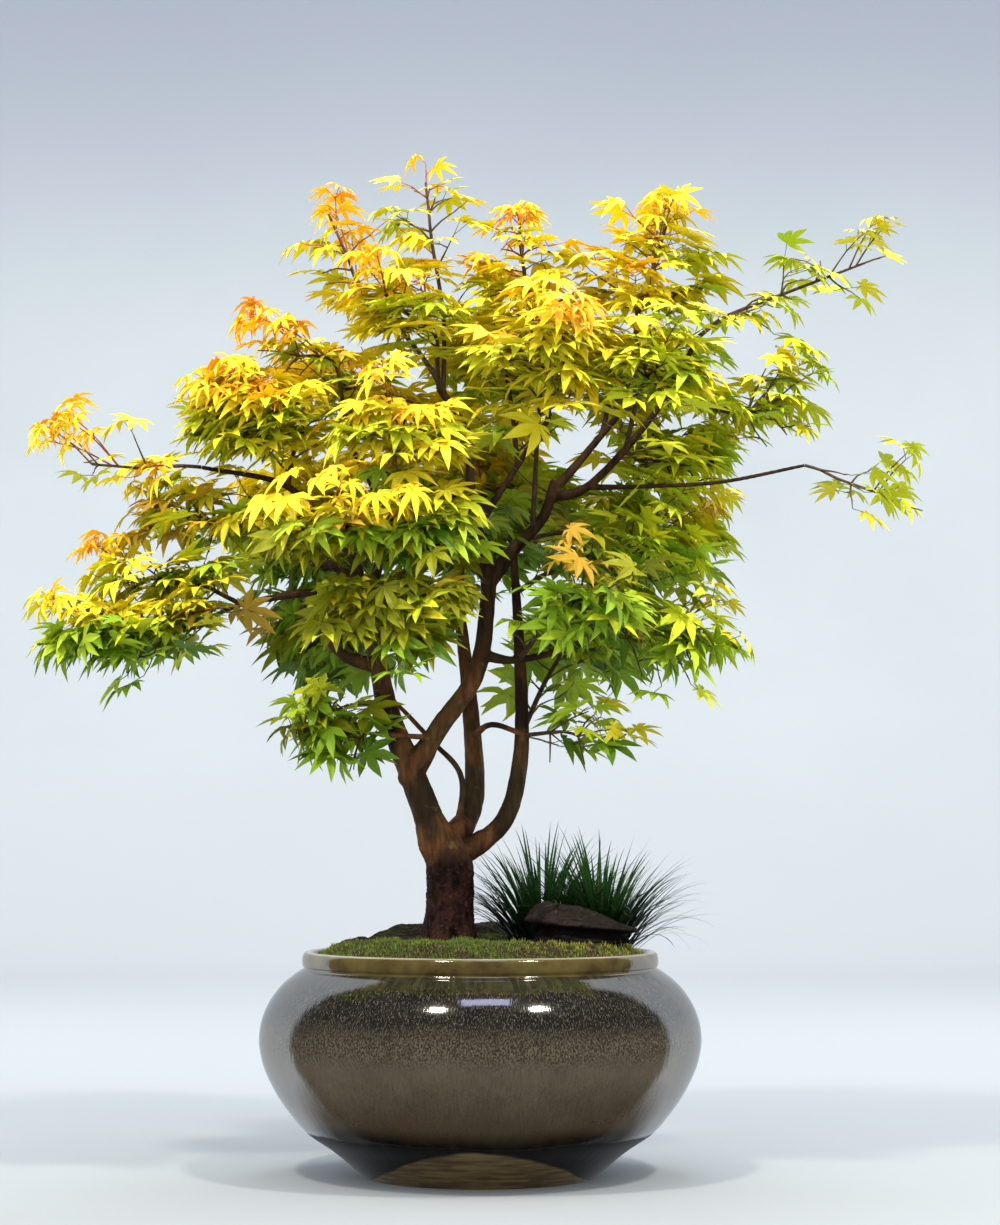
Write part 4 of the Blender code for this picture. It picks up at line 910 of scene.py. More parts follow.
def melted_limbs():
    """Joined limbs remeshed in small cells: points in millimetres, normals and faces."""
    work = bmesh.new()
    for name, path in paths.items():
        sides = TRUNK_SIDES if name == "trunk" else LIMB_SIDES
        points, faces = tube(*rounded_foot(path, widths[name]), sides)
        corners = [work.verts.new(p * MM) for p in points]
        for face in faces:
            work.faces.new([corners[i] for i in face])
    data = bpy.data.meshes.new("limbs")
    work.to_mesh(data)
    work.free()
    body = bpy.data.objects.new("limbs", data)
    bpy.context.scene.collection.objects.link(body)
    melt = body.modifiers.new("melt", "REMESH")
    melt.mode = "VOXEL"
    melt.voxel_size = CELL * MM
    melt.adaptivity = 0.0
    even = body.modifiers.new("even", "SMOOTH")
    even.factor = 0.5
    even.iterations = 3
    mesh = body.evaluated_get(bpy.context.evaluated_depsgraph_get()).to_mesh()
    points, normals = vertex_rows(mesh, "co") / MM, vertex_rows(mesh, "normal")
    faces = [tuple(p.vertices) for p in mesh.polygons]
    bpy.data.objects.remove(body, do_unlink=True)
    return points, normals, faces


limb_points, limb_normals, limb_faces = melted_limbs()
print("skin of the limbs:", len(limb_points), "points,", len(limb_faces), "faces")

# %% Find the limb under a point
limb_tree = KDTree(sum(len(path) for path in paths.values()))
limb_radii = list(chain.from_iterable(widths[name] for name in paths))
for i, p in enumerate(chain.from_iterable(paths.values())):
    limb_tree.insert(p, i)
limb_tree.balance()
print("places on the limbs:", len(limb_radii))

# %% Push the relief
FLARE = 6.0
FLARE_HEIGHT = 26.0
ROOT_LOBES = 5
BURIED = 3.0
FLAKY_HEIGHT = 272.0
FLAKY_RADIUS = 12.0


def root_flare(p):
    """Outward push of the trunk's foot into its root lobes."""
    low = max(0.0, 1.0 - (p.z - TRUNK_FOOT) / FLARE_HEIGHT)
    lobes = 0.40 + 0.60 * math.cos(ROOT_LOBES * math.atan2(p.y, p.x - TRUNK_X) + 3.4)
    return FLARE * low * low * lobes


def bark_height(p, radius):
    """Height of the bark over the even skin at a point."""
    grain = noise.fractal(Vector((p.x, p.y, p.z * 0.35)) * 0.22, 0.9, 2.0, 4)
    height = 0.045 * radius * grain + 0.03 * radius * noise.noise(p * 0.09)
    flaky = smooth_step((FLAKY_HEIGHT - p.z) / 18.0)
    if flaky > 0.0 and radius > FLAKY_RADIUS:
        near, far = noise.voronoi(Vector((p.x, p.y, p.z * 0.55)) * 0.30, exponent=2.5)[0][:2]
        height += flaky * (0.95 * smooth_step((far - near) / 0.22) - 0.55)
    return height


barked = []
for point, normal in zip(limb_points, limb_normals):
    p = Vector(point)
    flat = Vector((normal[0], normal[1], 0.0))
    moved = p + Vector(normal) * bark_height(p, limb_radii[limb_tree.find(p)[1]])
    if p.z < TRUNK_FOOT + FLARE_HEIGHT and flat.length > 0.05:
        moved += flat.normalized() * root_flare(p)
    moved.z = max(moved.z, TRUNK_FOOT - BURIED)
    barked.append(moved)
print("bark from", round(min(b.z for b in barked)), "to", round(max(b.z for b in barked)), "mm in height")

# %% Bark finish
bark, tree, bsdf = new_finish("maple_bark", Specular_IOR_Level=0.22)
long_grain = flecks(tree, 260.0, 0.35, 0.65, 6.0, (1.0, 1.0, 0.22))
blotch = flecks(tree, 28.0, 0.45, 0.57, 4.0, (1.0, 1.0, 0.6))
olive_side = flecks(tree, 11.0, 0.46, 0.58, 2.0)
pale_spots = flecks(tree, 75.0, 0.64, 0.70, 3.0)
scales = flecks(tree, 200.0, 0.36, 0.60, 5.0, (1.0, 1.0, 0.5))
flakes = flecks(tree, 330.0, 0.60, 0.66, 4.0)

low_tone = blend_colour(tree, scales, (0.006, 0.002, 0.0012), (0.040, 0.012, 0.006))
low_tone = blend_colour(tree, flakes, low_tone, (0.090, 0.038, 0.018), 0.6)
smooth_tone = blend_colour(tree, blotch, (0.030, 0.012, 0.005), (0.190, 0.072, 0.019))
smooth_tone = blend_colour(tree, olive_side, smooth_tone, (0.070, 0.048, 0.013), 0.6)
smooth_tone = blend_colour(tree, long_grain, smooth_tone, (0.018, 0.008, 0.005), 0.6)
smooth_tone = blend_colour(tree, pale_spots, smooth_tone, (0.20, 0.125, 0.028), 0.55)
# Inside the crown the bark turns darker: painted shade under the leaves.
painted_crown_shade = blend_colour(tree, long_grain, (0.018, 0.009, 0.005), (0.066, 0.030, 0.011))
tone = blend_colour(tree, height_band(tree, 0.242, 0.262, 0.030, 30.0), low_tone, smooth_tone)
tone = blend_colour(tree, height_band(tree, 0.38, 0.46, 0.06, 12.0), tone, painted_crown_shade)
feed_node(tree, bsdf, Base_Color=tone, Roughness=fade(tree, long_grain, 0.0, 1.0, 0.62, 0.88))
relief(tree, bsdf, flecks(tree, 900.0, 0.3, 0.7, 3.0), 0.35, 0.0003)
relief(tree, bsdf, long_grain, 0.45, 0.0007)
make_piece("trunk_and_boughs", barked, limb_faces, bark, "bark", list(paths))

# %% [markdown]
# # Where the foliage grows
# Each mass of leaves keeps to its own rounded space and hangs from one limb. The table gives the limb, how
# far along it the mass starts, the middle of its space, its half sizes along, across and up, the way it
# points, its main tint and the seed of its rule. It is the same table as in the part's source, so the fine
# foliage fills the same spaces and the crown keeps its outline and its gaps.

# %% Spaces of the masses
Mass = namedtuple("Mass", "name limb share centre half azimuth rise hue seed")
MASSES = [Mass(*row) for row in [
    ("left_low_lower", "left_low_bough", 0.93, (-272, -35, 427), (98, 54, 30), 188, -6, "green", 2),
    ("left_low_upper", "left_low_bough", 1.0, (-246, -2, 471), (86, 52, 22), 178, 2, "gold", 1),
    ("left_shoots", "left_high_bough", 1.0, (-296, 0, 564), (66, 46, 40), 182, 4, "gold", 4),
    ("left_mid", "left_mid_bough", 1.0, (-212, 16, 521), (78, 60, 30), 175, 4, "lime", 3),
    ("left_upper_layer", "left_high_bough", 0.5, (-176, -24, 600), (68, 60, 30), 192, 5, "gold", 5),
    ("upper_left_tip", "high_left_bough", 1.0, (-146, -10, 652), (54, 44, 26), 186, 8, "gold", 6),
    ("top_shoot", "upper_left_bough", 0.96, (-42, 0, 770), (48, 44, 32), 180, 84, "lime", 9),
    ("top_left", "upper_left_bough", 0.82, (-108, 4, 735), (64, 42, 42), 172, 66, "gold", 7),
    ("crown_top", "top_middle_bough", 1.0, (38, 2, 700), (70, 54, 54), 180, 82, "gold", 10),
    ("crown_right", "right_high_bough", 1.0, (136, -12, 714), (68, 56, 54), 10, 72, "gold", 11),
    ("right_high_arm", "right_arm_bough", 1.0, (256, 5, 709), (98, 42, 30), 0, 21, "lime", 12),
    ("right_tip", "far_right_twig", 1.0, (312, -30, 540), (62, 30, 24), -2, -20, "lime", 15),
    ("right_arm_mid", "right_arm_bough", 0.66, (232, 12, 612), (56, 46, 40), 6, 8, "lime", 13),
    ("right_inner", "right_arm_bough", 0.40, (156, 44, 573), (60, 54, 42), 30, 2, "lime", 14),
    ("right_low", "mid_right_bough", 1.0, (146, -10, 424), (78, 60, 42), 0, -10, "green", 17),
    ("right_low_upper", "right_leader", 0.86, (128, 4, 496), (68, 58, 36), -6, 4, "green", 16),
    ("low_right_spray", "low_right_twig", 1.0, (74, -18, 347), (56, 40, 32), -6, -18, "green", 18),
    ("low_left_spray", "low_left_twig", 1.0, (-104, -36, 347), (48, 40, 28), 188, -10, "green", 19),
    ("crown_left", "upper_left_bough", 1.0, (-58, -34, 682), (60, 60, 56), 214, 30, "gold", 8),
    ("front_gold_left", "left_leader", 0.90, (-122, -118, 502), (48, 62, 26), 262, 3, "gold", 20),
    ("front_gold_high", "high_left_bough", 0.55, (-61, -112, 571), (50, 62, 32), 280, 3, "gold", 21),
    ("front_low", "hooked_bough", 1.0, (-72, -88, 438), (50, 62, 36), 300, -4, "gold", 22),
    ("front_centre", "centre_leader", 0.93, (-42, -100, 504), (46, 44, 40), 244, 2, "lime", 23),
    ("front_yellow_top", "upper_right_bough", 0.55, (49, -112, 638), (56, 62, 36), 270, 12, "gold", 24),
    ("front_right_top", "right_arm_bough", 0.42, (134, -104, 625), (52, 54, 40), 284, 10, "lime", 25),
    ("front_right_low", "mid_right_bough", 0.42, (86, -92, 450), (52, 52, 40), 300, 2, "green", 26),
    ("back_low_left", "inner_shoot", 1.0, (-138, 100, 428), (54, 46, 46), 134, -6, "lime", 27),
    ("back_left", "left_leader", 1.0, (-140, 140, 520), (82, 76, 62), 110, 4, "lime", 28),
    ("back_centre", "back_leader", 1.0, (0, 172, 560), (86, 90, 72), 90, 4, "green", 29),
    ("back_right", "right_leader", 1.0, (140, 140, 520), (82, 76, 62), 46, 4, "green", 30),
    ("back_top", "top_middle_bough", 0.62, (20, 112, 670), (72, 76, 58), 90, 22, "lime", 31),
    ("back_low_right", "right_leader", 0.45, (100, 120, 436), (66, 62, 46), 56, 0, "green", 32),
    ("back_left_high", "upper_left_bough", 0.70, (-112, 90, 640), (68, 68, 50), 140, 10, "gold", 33),
    ("back_right_high", "right_high_bough", 0.62, (132, 90, 650), (68, 68, 50), 56, 10, "lime", 34),
]]
DROOP_ROOM = 20.0
SPACES = {}


def axes_of(azimuth, rise):
    """Directions along, across and up from a direction in degrees round and above the level."""
    az, up = math.radians(azimuth), math.radians(rise)
    along = Vector((math.cos(az) * math.cos(up), math.sin(az) * math.cos(up), math.sin(up)))
    across = Vector((-math.sin(az), math.cos(az), 0.0))
    return along, across, along.cross(across)


for mass in MASSES:
    half = (mass.half[0], mass.half[1], mass.half[2] + DROOP_ROOM)
    SPACES[mass.name] = (Vector(mass.centre), half, axes_of(mass.azimuth, mass.rise))


def depth_in(name, p):
    """0 at the middle of a mass's space, 1 on its edge."""
    centre, half, axes = SPACES[name]
    return math.sqrt(sum(((p - centre).dot(ax) / h) ** 2 for ax, h in zip(axes, half)))


def reach_in(name, p, direction):
    """Run from a point to the edge of the space along a direction."""
    centre, half, axes = SPACES[name]
    o = [(p - centre).dot(ax) / h for ax, h in zip(axes, half)]
    d = [direction.dot(ax) / h for ax, h in zip(axes, half)]
    a = sum(x * x for x in d)
    b = 2 * sum(x * y for x, y in zip(o, d))
    inside = b * b - 4 * a * (sum(x * x for x in o) - 1.0)
    return max(0.0, (-b + math.sqrt(inside)) / (2 * a)) if inside > 0 else 0.0


print("masses:", len(SPACES))

# %% [markdown]
# # How a spray grows
# The rule is the one that made the solid: a stem runs on from the bough into the space, and side twigs leave
# it in pairs. Where the solid put one big leaf on a twig, the real plant has a finer spray, so here every
# twig carries short shoots and pairs of leaves on thin stalks at even steps, up to the edge of the space.

# %% Stems and side twigs by the part's rule
SOLID_LEAF = 64.0  # length of a leaf in the solids
SOLID_LEAF_DRAWS = 91  # random draws that the part's source makes for one leaf
NODE_STEP = 15.0
TALL_SPACE = 34.0
SHORT_RUN = 26.0


def stem_path(name, start):
    """Centre line of a mass's stem from its limb, and the stretch of it that lies in the space."""
    centre, half, (along, _, _) = SPACES[name]
    entry = centre - along * (0.50 * half[0])
    end = centre + along * max(4.0, half[0] - SOLID_LEAF * (0.80 - 0.45 * along.z))
    length = (entry - start).length
    if length < SHORT_RUN:
        return [start, centre.lerp(entry, 0.3), end], entry, end
    run = (entry - start).normalized()
    side = run.cross(UP).normalized()
    half_way = start.lerp(entry, 0.5) + side.cross(run) * (0.05 * length)
    return [start, half_way, entry, centre, end], entry, end


def spray_plan(name, start, seed):
    """Stem, side twigs and end of one mass, by the rule and the seed in the part's source."""
    rnd = random.Random(seed)
    centre, half, (along, across, up) = SPACES[name]
    stem, entry, end = stem_path(name, start)
    count = max(2, int(round((end - entry).length / NODE_STEP)))
    twigs = []
    for j in range(count):
        t = (j + 0.35) / count
        node = entry.lerp(centre, t * 2) if t < 0.5 else centre.lerp(end, t * 2 - 1)
        rolls = [rnd.uniform(-16, 16)]
        if half[2] > TALL_SPACE:
            rolls.append(90 + rnd.uniform(-24, 24))
        for roll, side in [(r, s) for r in rolls for s in (1, -1)]:
            lean = math.radians(rnd.uniform(48, 74))
            turn = math.radians(roll + rnd.uniform(-8, 8))
            out = across * (side * math.cos(turn)) + up * (side * math.sin(turn))
            twigs.append((node, (along * math.cos(lean) + out * math.sin(lean)).normalized()))
            for _ in range(SOLID_LEAF_DRAWS):
                rnd.random()
    return stem, twigs, end


def limb_point(limb, share):
    """Point and radius at a share of a limb's length."""
    path = paths[limb]
    at = share * (len(path) - 1)
    i = min(len(path) - 2, int(at))
    r0, r1 = next(row[2:] for row in LIMBS if row[0] == limb)
    return path[i].lerp(path[i + 1], at - i), r0 + (r1 - r0) * share


print("the first mass starts at", limb_point(MASSES[0].limb, MASSES[0].share)[0])

# %% [markdown]
# # Leaves
# The leaf has five or seven narrow pointed lobes, cut in deeply, and it hangs like a small umbrella: the
# heart is held up by the stalk and all the lobes arch down. One flat outline repeated everywhere would look
# like paper, so a dozen leaves are made with their own lobes, folds and droop.

# %% One leaf of unit length
MARGIN = [(0.50, 0.155), (0.72, 0.108), (0.78, 0.082)]
MIDRIB = 0.56
LOBE_ANGLES = [-118, -79, -40, 0, 40, 79, 118]
LOBE_LENGTHS = [0.42, 0.74, 0.92, 1.0, 0.92, 0.74, 0.42]
OUTER_CUT = (0.26, 0.11)
FOLD_WIDTH = 0.15
ARCH = 2.1


def leaf_shape(seed, lobes, slim, droop, fold, notch):
    """Points and triangles of a leaf with its stalk end at the origin, pointing along +X, top up +Z."""
    rnd = random.Random(seed)
    first = (len(LOBE_ANGLES) - lobes) // 2
    angles = [a + rnd.uniform(-5, 5) for a in LOBE_ANGLES[first:first + lobes]]
    lengths = [length * rnd.uniform(0.90, 1.08) for length in LOBE_LENGTHS[first:first + lobes]]
    droops = [droop * rnd.uniform(0.5, 1.5) for _ in range(lobes)]
    bows = [rnd.uniform(-0.10, 0.10) for _ in range(lobes)]
    points, faces = [(0.0, 0.0, 0.0)], []

    def put(lobe, t, w, lift):
        """Point of a lobe at a share of its length and width; gives its number."""
        a = math.radians(angles[lobe])
        r = t * lengths[lobe]
        aside = w * lengths[lobe] * slim + bows[lobe] * t * t * lengths[lobe]
        x = r * math.cos(a) - aside * math.sin(a)
        y = r * math.sin(a) + aside * math.cos(a)
        points.append((x, y, lift - droops[lobe] * r ** ARCH))
        return len(points) - 1

    def put_notch(one, two):
        """Point where two neighbouring lobes meet; gives its number."""
        a = math.radians((angles[one] + angles[two]) / 2)
        r = notch * min(lengths[one], lengths[two]) + 0.03
        fall = 0.5 * (droops[one] + droops[two]) * r ** ARCH
        points.append((r * math.cos(a), r * math.sin(a), fold * 0.4 - fall))
        return len(points) - 1

    notches = [put_notch(i, i + 1) for i in range(lobes - 1)]
    for lobe in range(lobes):
        rib = put(lobe, MIDRIB, 0.0, 0.0)
        tip = put(lobe, 1.0, 0.0, 0.0)
        for side in (-1, 1):
            edge = [put(lobe, t, side * w, fold * w / FOLD_WIDTH) for t, w in MARGIN]
            inner = lobe - 1 if side < 0 else lobe
            if 0 <= inner < len(notches):
                start = notches[inner]
            else:
                start = put(lobe, OUTER_CUT[0], side * OUTER_CUT[1], fold * 0.3)
            ring = [0, start, *edge, tip]
            fan = [(a, b, rib) for a, b in zip(ring, ring[1:])]
            faces += fan if side < 0 else [(a, c, b) for a, b, c in fan]
    return np.array(points), np.array(faces)


leaf_shapes = [leaf_shape(50 + i, 7 if i % 2 else 5, 0.94 + 0.06 * (i % 3), 0.04 + 0.055 * i, 0.045, 0.34)
               for i in range(8)]
OPEN_SHAPES = len(leaf_shapes)
leaf_shapes += [leaf_shape(70 + i, 5 if i % 2 else 7, 0.72, 0.25 + 0.12 * i, 0.07, 0.28) for i in range(4)]
YOUNG_SHAPES = len(leaf_shapes) - OPEN_SHAPES
print("leaf shapes:", OPEN_SHAPES, "open and", YOUNG_SHAPES, "young")

# %% [markdown]
# # Tints
# The crown turns from the outside in. The sprays that get the light are golden and orange, the ones under
# them yellow-green, and the shaded inner and lower ones still green. A spray is one age, so its leaves share
# a tint: it is dealt out spray by spray, from the mass's own colour and from how far out the spray sits.
# In the shade under the front sprays the tints are pulled greener and often swapped for a darker olive:
# painted shade.

# %% Tints and how they are dealt out
TINTS = {  # colour and slot; the first eight in the order in which a leaf ripens
    "deep_green": ((0.110, 0.210, 0.012), "leaf_green"),
    "green": ((0.240, 0.390, 0.018), "leaf_green"),
    "lime": ((0.400, 0.540, 0.024), "leaf_green"),
    "yellow_green": ((0.600, 0.650, 0.026), "leaf_lime"),
    "olive_yellow": ((0.720, 0.620, 0.022), "leaf_lime"),
    "yellow": ((0.940, 0.790, 0.035), "leaf_gold"),
    "gold": ((0.950, 0.610, 0.020), "leaf_gold"),
    "orange": ((0.820, 0.390, 0.012), "leaf_gold"),
    "olive": ((0.240, 0.250, 0.006), "leaf_green"),
    "bronze": ((0.420, 0.260, 0.020), "leaf_gold"),
}
TINT_EDGES = [0.15, 0.30, 0.45, 0.58, 0.70, 0.87, 1.06, 9.0]
RIPENING = list(TINTS)[:len(TINT_EDGES)]
RIPENESS = {"gold": 0.65, "lime": 0.53, "green": 0.47}
RED_TINTS = ("orange", "gold", "yellow")


def in_shade(p):
    """How far a point sits under the crown in front: 0 in the light, 1 in the shade of the sprays above."""
    foot = 400.0 + 1.35 * min(0.0, p.x + 20.0)
    level = smooth_step((540.0 - p.z) / 80.0) * smooth_step((p.z - foot) / 60.0)
    return level * smooth_step((170.0 - abs(p.x + 32.0)) / 70.0)


def deal_tint(rnd, hue, outer, lift, place):
    """Tint of a spray, from green to orange; outer and lift run from 0 in the shade to 1 in the light."""
    ripe = RIPENESS[hue] + 0.24 * (outer - 0.7) + 0.36 * (lift - 0.5) + rnd.gauss(0.0, 0.09)
    # Under the front sprays the tint is pulled greener and often turned darker olive: painted shade.
    ripe += 0.0004 * (place.z - 540.0) - 0.00020 * place.x - 0.15 * in_shade(place)
    ripe += 0.65 * (0.53 - ripe) * smooth_step((place.x - 120.0) / 70.0)
    if ripe > 0.30 and rnd.random() < 0.75 * in_shade(place):
        return "olive"
    if 0.5 < ripe < 0.62 and place.z < 560.0 and rnd.random() < 0.2:
        return "bronze"
    return next(tint for tint, edge in zip(RIPENING, TINT_EDGES) if ripe < edge)


def leaf_tint(rnd, tint):
    """Tint of one leaf: mostly its spray's, now and then the next one on the way from green to orange."""
    if tint not in RIPENING or rnd.random() > 0.3:
        return tint
    step = RIPENING.index(tint) + rnd.choice((-1, 1))
    return RIPENING[min(len(RIPENING) - 1, max(0, step))]


print("tints:", list(TINTS))

# %% [markdown]
# # Growing the twigs and the leaves
# A maple carries its foliage in tiers: the finest twigs spread out flat, so each spray is a thin layer with
# air above and below it. A side twig therefore bears level twiglets, longer at its foot than at its tip, and
# every twiglet has leaves in pairs and three at its end. A leaf is left out where another one already sits
# close by, where it would touch a limb, and where the real crown is open in front of the main boughs.

# %% Sizes of the leaves and twigs
LEAF_LENGTH = 27.5
YOUNG_SIZE = 0.86
LOW_LEAVES = 0.16  # how much larger the lowest leaves are
LEAF_STEP = 11.0  # from pair to pair along a twiglet
LEAF_SPACING = 6.2  # least room between the hearts of two leaves
LIMB_GAP = 3.0
TIP_ROOM = 0.75 * LEAF_LENGTH
TIP_LEAVES = 5
TWIGLET_STEP = 13.0  # between the twiglets of a level twig
TIER_STEP = 12.0  # between those of a steep one
GOLDEN_ANGLE = 137.5
END_TWIGLET = 8.0
STEM_RADIUS, TWIG_RADIUS, LEADER_RADIUS, TWIGLET_RADIUS = 2.3, 0.95, 0.8, 0.62
TIDY, LOOSE = 1.0, 3.0  # how far leaves may stand out of their space
CROWN_HEART = Vector((-10.0, 0.0, 470.0))
BOX_LOW = [v / MM - 9.0 for v in cad_low]
BOX_HIGH = [v / MM + room for v, room in zip(cad_high, (9.0, 9.0, 6.0))]
print("leaves are about", LEAF_LENGTH, "mm long and keep", LEAF_SPACING, "mm apart")

# %% Habit of each mass
THIN = {"right_high_arm": 0.17, "right_tip": 0.45, "right_arm_mid": 0.42, "right_inner": 0.70,
        "left_shoots": 0.14, "upper_left_tip": 0.30, "left_mid": 0.58, "left_low_upper": 0.55,
        "left_low_lower": 0.58, "top_left": 0.21, "top_shoot": 0.30, "crown_left": 0.50, "crown_top": 0.35,
        "crown_right": 0.46, "low_right_spray": 0.50, "right_low": 0.40, "right_low_upper": 0.45,
        "back_right": 0.56, "back_right_high": 0.52, "back_left_high": 0.50, "back_top": 0.56,
        "back_low_right": 0.80, "front_yellow_top": 0.80, "front_right_top": 0.80,
        "front_right_low": 0.85}  # share of the twigs and leaves that an airy mass keeps
FANS = {"low_left_spray": (-28, 0, 28), "front_low": (-24, 4, 30), "front_centre": (-22, 14),
        "left_upper_layer": (-16, 10)}  # turns in degrees by which a full mass repeats its side twigs
LEADERS = {"left_shoots": 5, "left_low_upper": 3, "left_upper_layer": 4, "upper_left_tip": 3, "top_shoot": 1,
           "top_left": 3, "crown_top": 6, "crown_right": 6, "right_high_arm": 3, "right_arm_mid": 4}
USUAL_LEADERS = 2
OPEN_VIEWS = [  # sides, bottom, top and openness of the gaps in front of the boughs
    (-114, -68, 340, 438, 0.8), (-44, 8, 296, 368, 1.0), (8, 60, 296, 322, 1.0),
    (8, 26, 322, 394, 0.5), (0, 56, 394, 530, 0.45), (70, 140, 560, 618, 0.45)]
OPEN_DEPTH = 12.0
print("airy masses:", len(THIN), "with many leaders:", len(LEADERS))

# %% Find room for a leaf
Spray = namedtuple("Spray", "rnd name tint young loose")
leaves = {tint: [] for tint in TINTS}
stalks = []
hearts = {}


def fullness(name):
    """Share of the twigs and leaves that a mass keeps."""
    return THIN.get(name, 1.0)


def too_close(p):
    """True when a leaf already has its heart within the leaf spacing of a point."""
    cell = tuple(int(math.floor(v / LEAF_SPACING)) for v in p)
    for step in product((-1, 0, 1), repeat=3):
        near = tuple(c + s for c, s in zip(cell, step))
        if any((other - p).length < LEAF_SPACING for other in hearts.get(near, ())):
            return True
    hearts.setdefault(cell, []).append(p)
    return False


def hides_limbs(rnd, p):
    """True for a leaf that would hang in front of the limbs where the crown is open."""
    if p.y > OPEN_DEPTH:
        return False
    return any(x0 < p.x < x1 and z0 < p.z < z1 and rnd.random() < share
               for x0, x1, z0, z1, share in OPEN_VIEWS)


# %% Place one leaf
def add_leaf(spray, root, way, length):
    """One leaf on its stalk, if it stays in the mass's space, off the limbs and off its neighbours."""
    rnd, name, tint, young, loose = spray
    light = (root - CROWN_HEART).normalized()
    top = light * rnd.uniform(0.0, 0.9) + UP * 0.9 + Vector([rnd.gauss(0, 0.26) for _ in range(3)])
    top.normalize()
    lean = way + light * 0.2 - UP * (0.65 if young else 0.22)
    out = (lean - top * lean.dot(top)).normalized()
    if young:
        out = (out - UP * 0.35).normalized()
        top = (top - out * top.dot(out)).normalized()
    heart = root + (way * 0.9 + UP * 0.2).normalized() * (rnd.uniform(0.25, 0.6) * length)
    length *= 0.85 + 0.15 * fullness(name) + LOW_LEAVES * smooth_step((500.0 - root.z) / 160.0)
    depth = depth_in(name, heart + out * (0.85 * length))
    if depth > 1.02 + 0.3 * rnd.random() ** 2 * loose:
        return 0
    if rnd.random() < 1.2 * (depth - 0.78) and loose == TIDY:
        return 0
    if any(not low < v < high for low, v, high in zip(BOX_LOW, heart + out * length, BOX_HIGH)):
        return 0
    if loose == TIDY and rnd.random() > fullness(name) ** 0.4:
        return 0
    _, index, gap = limb_tree.find(heart + out * (0.35 * length))
    if gap < limb_radii[index] + LIMB_GAP or hides_limbs(rnd, heart) or too_close(heart):
        return 0
    shape = OPEN_SHAPES + rnd.randrange(YOUNG_SHAPES) if young else rnd.randrange(OPEN_SHAPES)
    leaves[leaf_tint(rnd, tint)].append((shape, heart, out, top.cross(out), length))
    stalks.append((root, heart, tint))
    return 1


# %% Directions across a twig
def side_of(way):
    """Level direction across a twig."""
    flat = way.cross(UP)
    return flat.normalized() if flat.length > 0.2 else Vector((0, 1, 0)).cross(way).normalized()


def turned(way, side, degrees):
    """Direction turned from one way towards its side."""
    a = math.radians(degrees)
    return way * math.cos(a) + side * math.sin(a)


# %% Grow a twiglet
shoots = []


def grow_twiglet(spray, foot, way, length):
    """Finest twig: leaves in pairs along it and three at its end; thin masses leave some twigs out."""
    rnd = spray.rnd
    if rnd.random() > fullness(spray.name) ** 0.6:
        return 0
    tip = foot + way * length + UP * (rnd.uniform(-0.08, 0.04) * length)
    flat = side_of(way)
    size = LEAF_LENGTH * (YOUNG_SIZE if spray.young else 1.0)
    grown = 0
    pairs = int(length / LEAF_STEP)
    for j in range(pairs):
        at = foot.lerp(tip, (j + 0.7) / (pairs + 0.4))
        for side in (1, -1):
            off = turned(way, flat * side, rnd.uniform(46, 80))
            grown += add_leaf(spray, at, off, size * rnd.uniform(0.78, 1.12))
    for angle in (rnd.uniform(-10, 10), rnd.uniform(38, 56), rnd.uniform(-56, -38)):
        off = turned(way, flat, angle)
        grown += add_leaf(spray, tip, off, size * rnd.uniform(0.9, 1.25))
    if grown:
        line = [foot, foot.lerp(tip, 0.5) + UP * (0.06 * length), tip]
        shoots.append((line, TWIGLET_RADIUS, spray.tint))
    return grown


# %% Grow a side twig
def grow_twig(rnd, name, foot, way, length, hue, loose=TIDY):
    """Side twig with level twiglets on both sides, in tiers where it rises or hangs."""
    centre, half, _ = SPACES[name]
    tip = foot + way * length - UP * (0.04 * length)
    bend = Vector([rnd.uniform(-0.10, 0.10) for _ in range(3)]) + UP * 0.05
    line = smooth_path([foot, foot.lerp(tip, 0.5) + bend * length, tip], max(4.0, length / 4))
    lift = 0.5 + 0.5 * (tip.z - centre.z) / half[2]
    tint = deal_tint(rnd, hue, min(1.2, depth_in(name, tip)), lift, tip)
    young = tint in ("orange", "gold") and rnd.random() < 0.8
    spray = Spray(rnd, name, tint, young, loose)
    steep = abs(way.z) > 0.6
    count = max(1, int(length / (TIER_STEP if steep else TWIGLET_STEP)))
    flat = side_of(way)
    turn = rnd.uniform(0, 360)
    grown = 0
    for j in range(count):
        t = (j + 0.6) / (count + 0.2)
        at = line[int(round(t * (len(line) - 1)))]
        if steep:
            turn += GOLDEN_ANGLE
            off = Vector((math.cos(math.radians(turn)), math.sin(math.radians(turn)), 0.12))
            reach = rnd.uniform(22, 38)
        else:
            off = turned(way, flat * (1 if j % 2 else -1), rnd.uniform(42, 60))
            reach = 12.0 + 0.45 * (1.0 - t) * length
        reach = max(6.0, min(reach, reach_in(name, at, off) - 0.7 * LEAF_LENGTH))
        grown += grow_twiglet(spray, at, off.normalized(), reach)
    grown += grow_twiglet(spray, tip, way, END_TWIGLET)
    if grown:
        shoots.append((line, TWIG_RADIUS, tint))
    return grown


# %% Grow what stands outside the spray
def grow_run(rnd, name, stem, hue):
    """Short twigs on the part of a stem between its limb and its own space."""
    grown = 0
    for i in range(2, len(stem) - 1, 2):
        at = stem[i]
        if depth_in(name, at) < 0.5:
            break
        ahead = (stem[i + 1] - at).normalized()
        way = side_of(ahead) * (1 if i % 4 else -1) + ahead * 0.8 + UP * rnd.uniform(-0.2, 0.4)
        grown += grow_twig(rnd, name, at, way.normalized(), rnd.uniform(18, 36), hue, LOOSE)
    return grown


